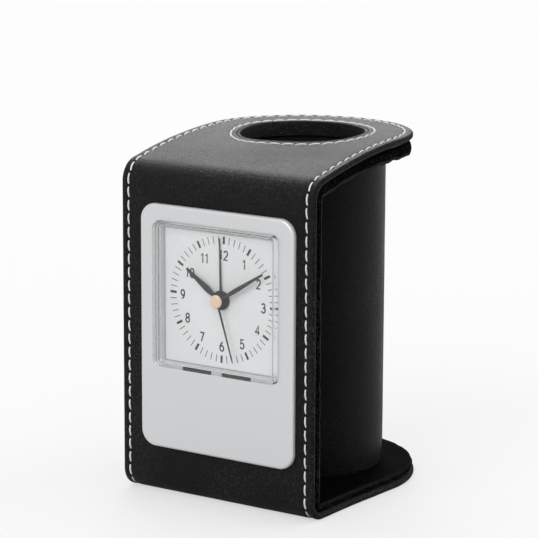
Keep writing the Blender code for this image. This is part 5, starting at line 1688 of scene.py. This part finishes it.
# Camera direction, from a pinhole camera fitted to the outline in the picture
IMAGE_WIDTH = 538
FOCAL_PIXELS = 2533.3
SENSOR = 36.0
AZIMUTH = math.radians(34.201)
ELEVATION = math.radians(11.475)
ROLL = math.radians(0.224)
CAMERA_DISTANCE = 0.697988
CAMERA_REACH = 20.0
TARGET = (0.007503, 0.014992, 0.065209)

FLOOR_REACH = 12.0
FLOOR_GLOW_SHARE = 0.6
FLOOR_BOUNCE_SHARE = 0.58
# The world's light climbs from the front to the rear
WORLD_RANGE = (-0.6, 0.6)
WORLD_STRENGTHS = (0.46, 1.0)
# Where each lamp stands as seen from the holder, its strength and its width in degrees
LAMPS = {
    "key": ((0.0, -0.85, 0.55), 1.12, 45),
    "fill": ((0.60, 0.70, 0.45), 0.45, 50),
    "rim": ((-0.55, 0.64, 0.50), 0.77, 34),
    "edge": ((0.75, -0.60, 0.35), 0.15, 12),
}


class PENHOLDER_OT_stage(Operator):
    """Floor, lamps, world and camera"""

    bl_idname = "pen_holder.stage"
    bl_label = "Stage"

    def execute(self, context):
        scene = context.scene
        scene.view_settings.view_transform = "Standard"
        scene.camera = self.camera()
        scene.world = self.world()
        self.floor()
        for name, (place, strength, width) in LAMPS.items():
            data = bpy.data.lights.new(name, "SUN")
            data.energy = strength
            data.angle = math.radians(width)
            turn = Vector(place).to_track_quat("Z", "Y")
            new_object(name, data).rotation_euler = turn.to_euler()
        return {"FINISHED"}

    def camera(self):
        """A camera that looks at the target from the fitted direction."""
        forward = Vector((-math.sin(AZIMUTH) * math.cos(ELEVATION),
                          math.cos(AZIMUTH) * math.cos(ELEVATION), -math.sin(ELEVATION)))
        level = Vector((math.cos(AZIMUTH), math.sin(AZIMUTH), 0.0))
        above = level.cross(forward)
        right = level * math.cos(ROLL) + above * math.sin(ROLL)
        up = above * math.cos(ROLL) - level * math.sin(ROLL)
        data = bpy.data.cameras.new("camera")
        data.sensor_width = SENSOR
        data.lens = FOCAL_PIXELS / IMAGE_WIDTH * SENSOR
        data.clip_end = CAMERA_REACH
        place = Matrix((right, up, -forward)).transposed().to_4x4()
        target = Vector((TARGET[0], FRONT_Y + TARGET[1], TARGET[2]))
        place.translation = target - forward * CAMERA_DISTANCE
        camera = new_object("camera", data)
        camera.matrix_world = place
        return camera

    def floor(self):
        """A pale floor that glows to the camera and keeps the holder's shadow."""
        base = settings().colours.floor
        material, tree, shader = principled("floor", base, roughness=0.9, specular=0.1)
        cloud = texture_outputs(tree, grain=0.003)["Cloud"]
        seen = add_node(tree, "ShaderNodeLightPath").outputs["Is Camera Ray"]
        surface = mix_colour(tree, seen, tinted(base, FLOOR_BOUNCE_SHARE),
                             varied_colour(tree, cloud, base, spread=0.002))
        feed(tree, surface, shader.inputs["Base Color"])
        glow = add_node(tree, "ShaderNodeEmission", {"Color": tinted(base, 1.0)})
        mix_shaders(tree, maths(tree, "MULTIPLY", seen, FLOOR_GLOW_SHARE),
                    shader.outputs["BSDF"], glow.outputs["Emission"])
        corners = ((-1, -1), (1, -1), (1, 1), (-1, 1))
        skin = Skin()
        skin.cap(skin.add([(x * FLOOR_REACH, y * FLOOR_REACH, 0.0) for x, y in corners]))
        return skin.piece("floor", material)

    def world(self):
        """White light that is weaker from the front, and plain white to the camera."""
        world = bpy.data.worlds.new("studio")
        world.use_nodes = True
        tree = world.node_tree
        backdrop = tree.nodes["Background"]
        backdrop.inputs["Color"].default_value = (1.0, 1.0, 1.0, 1.0)
        place = add_node(tree, "ShaderNodeTexCoord").outputs["Generated"]
        parts = add_node(tree, "ShaderNodeSeparateXYZ", {0: place})
        ramp = add_node(tree, "ShaderNodeMapRange",
                        {"Value": parts.outputs["Y"],
                         "From Min": WORLD_RANGE[0], "From Max": WORLD_RANGE[1],
                         "To Min": WORLD_STRENGTHS[0], "To Max": WORLD_STRENGTHS[1]},
                        interpolation_type="SMOOTHSTEP")
        path = add_node(tree, "ShaderNodeLightPath").outputs
        seen = maths(tree, "MAXIMUM", path["Is Camera Ray"], path["Is Transmission Ray"])
        strength = maths(tree, "MAXIMUM", ramp.outputs["Result"], seen)
        feed(tree, strength, backdrop.inputs["Strength"])
        return world


OPERATORS = (
    PENHOLDER_OT_stage,
    PENHOLDER_OT_outer_leather,
    PENHOLDER_OT_inner_leather,
    PENHOLDER_OT_stitching,
    PENHOLDER_OT_cup,
    PENHOLDER_OT_face_plate,
    PENHOLDER_OT_lens,
    PENHOLDER_OT_dial,
    PENHOLDER_OT_hands,
    PENHOLDER_OT_movement,
)


class PENHOLDER_PT_sidebar(Panel):
    """Lists the stage and the pieces in the order in which they are made"""

    bl_idname = "PENHOLDER_PT_sidebar"
    bl_label = "Pen Holder Clock"
    bl_space_type = "VIEW_3D"
    bl_region_type = "UI"
    bl_category = "Pen Holder"

    def draw(self, context):
        for operator in OPERATORS:
            self.layout.operator(operator.bl_idname)
        for group in (settings().panel, settings().stitch, settings().clock, settings().colours):
            box = self.layout.box()
            for name in group.bl_rna.properties.keys():
                if name not in ("rna_type", "name"):
                    box.prop(group, name)
        self.layout.prop(settings(), "seed")


GROUPS = (PanelSizes, StitchSizes, ClockSizes, Colours, HolderSettings)
CLASSES = GROUPS + OPERATORS + (PENHOLDER_PT_sidebar,)


def register():
    for item in CLASSES:
        bpy.utils.register_class(item)
    bpy.types.Scene.pen_holder = PointerProperty(type=HolderSettings)


def unregister():
    del bpy.types.Scene.pen_holder
    for item in reversed(CLASSES):
        bpy.utils.unregister_class(item)


def main():
    register()
    bpy.ops.pen_holder.stage()
    bpy.ops.pen_holder.outer_leather()
    bpy.ops.pen_holder.inner_leather()
    bpy.ops.pen_holder.stitching()
    bpy.ops.pen_holder.cup()
    bpy.ops.pen_holder.face_plate()
    bpy.ops.pen_holder.lens()
    bpy.ops.pen_holder.dial()
    bpy.ops.pen_holder.hands()
    bpy.ops.pen_holder.movement()


if __name__ == "__main__":
    main()
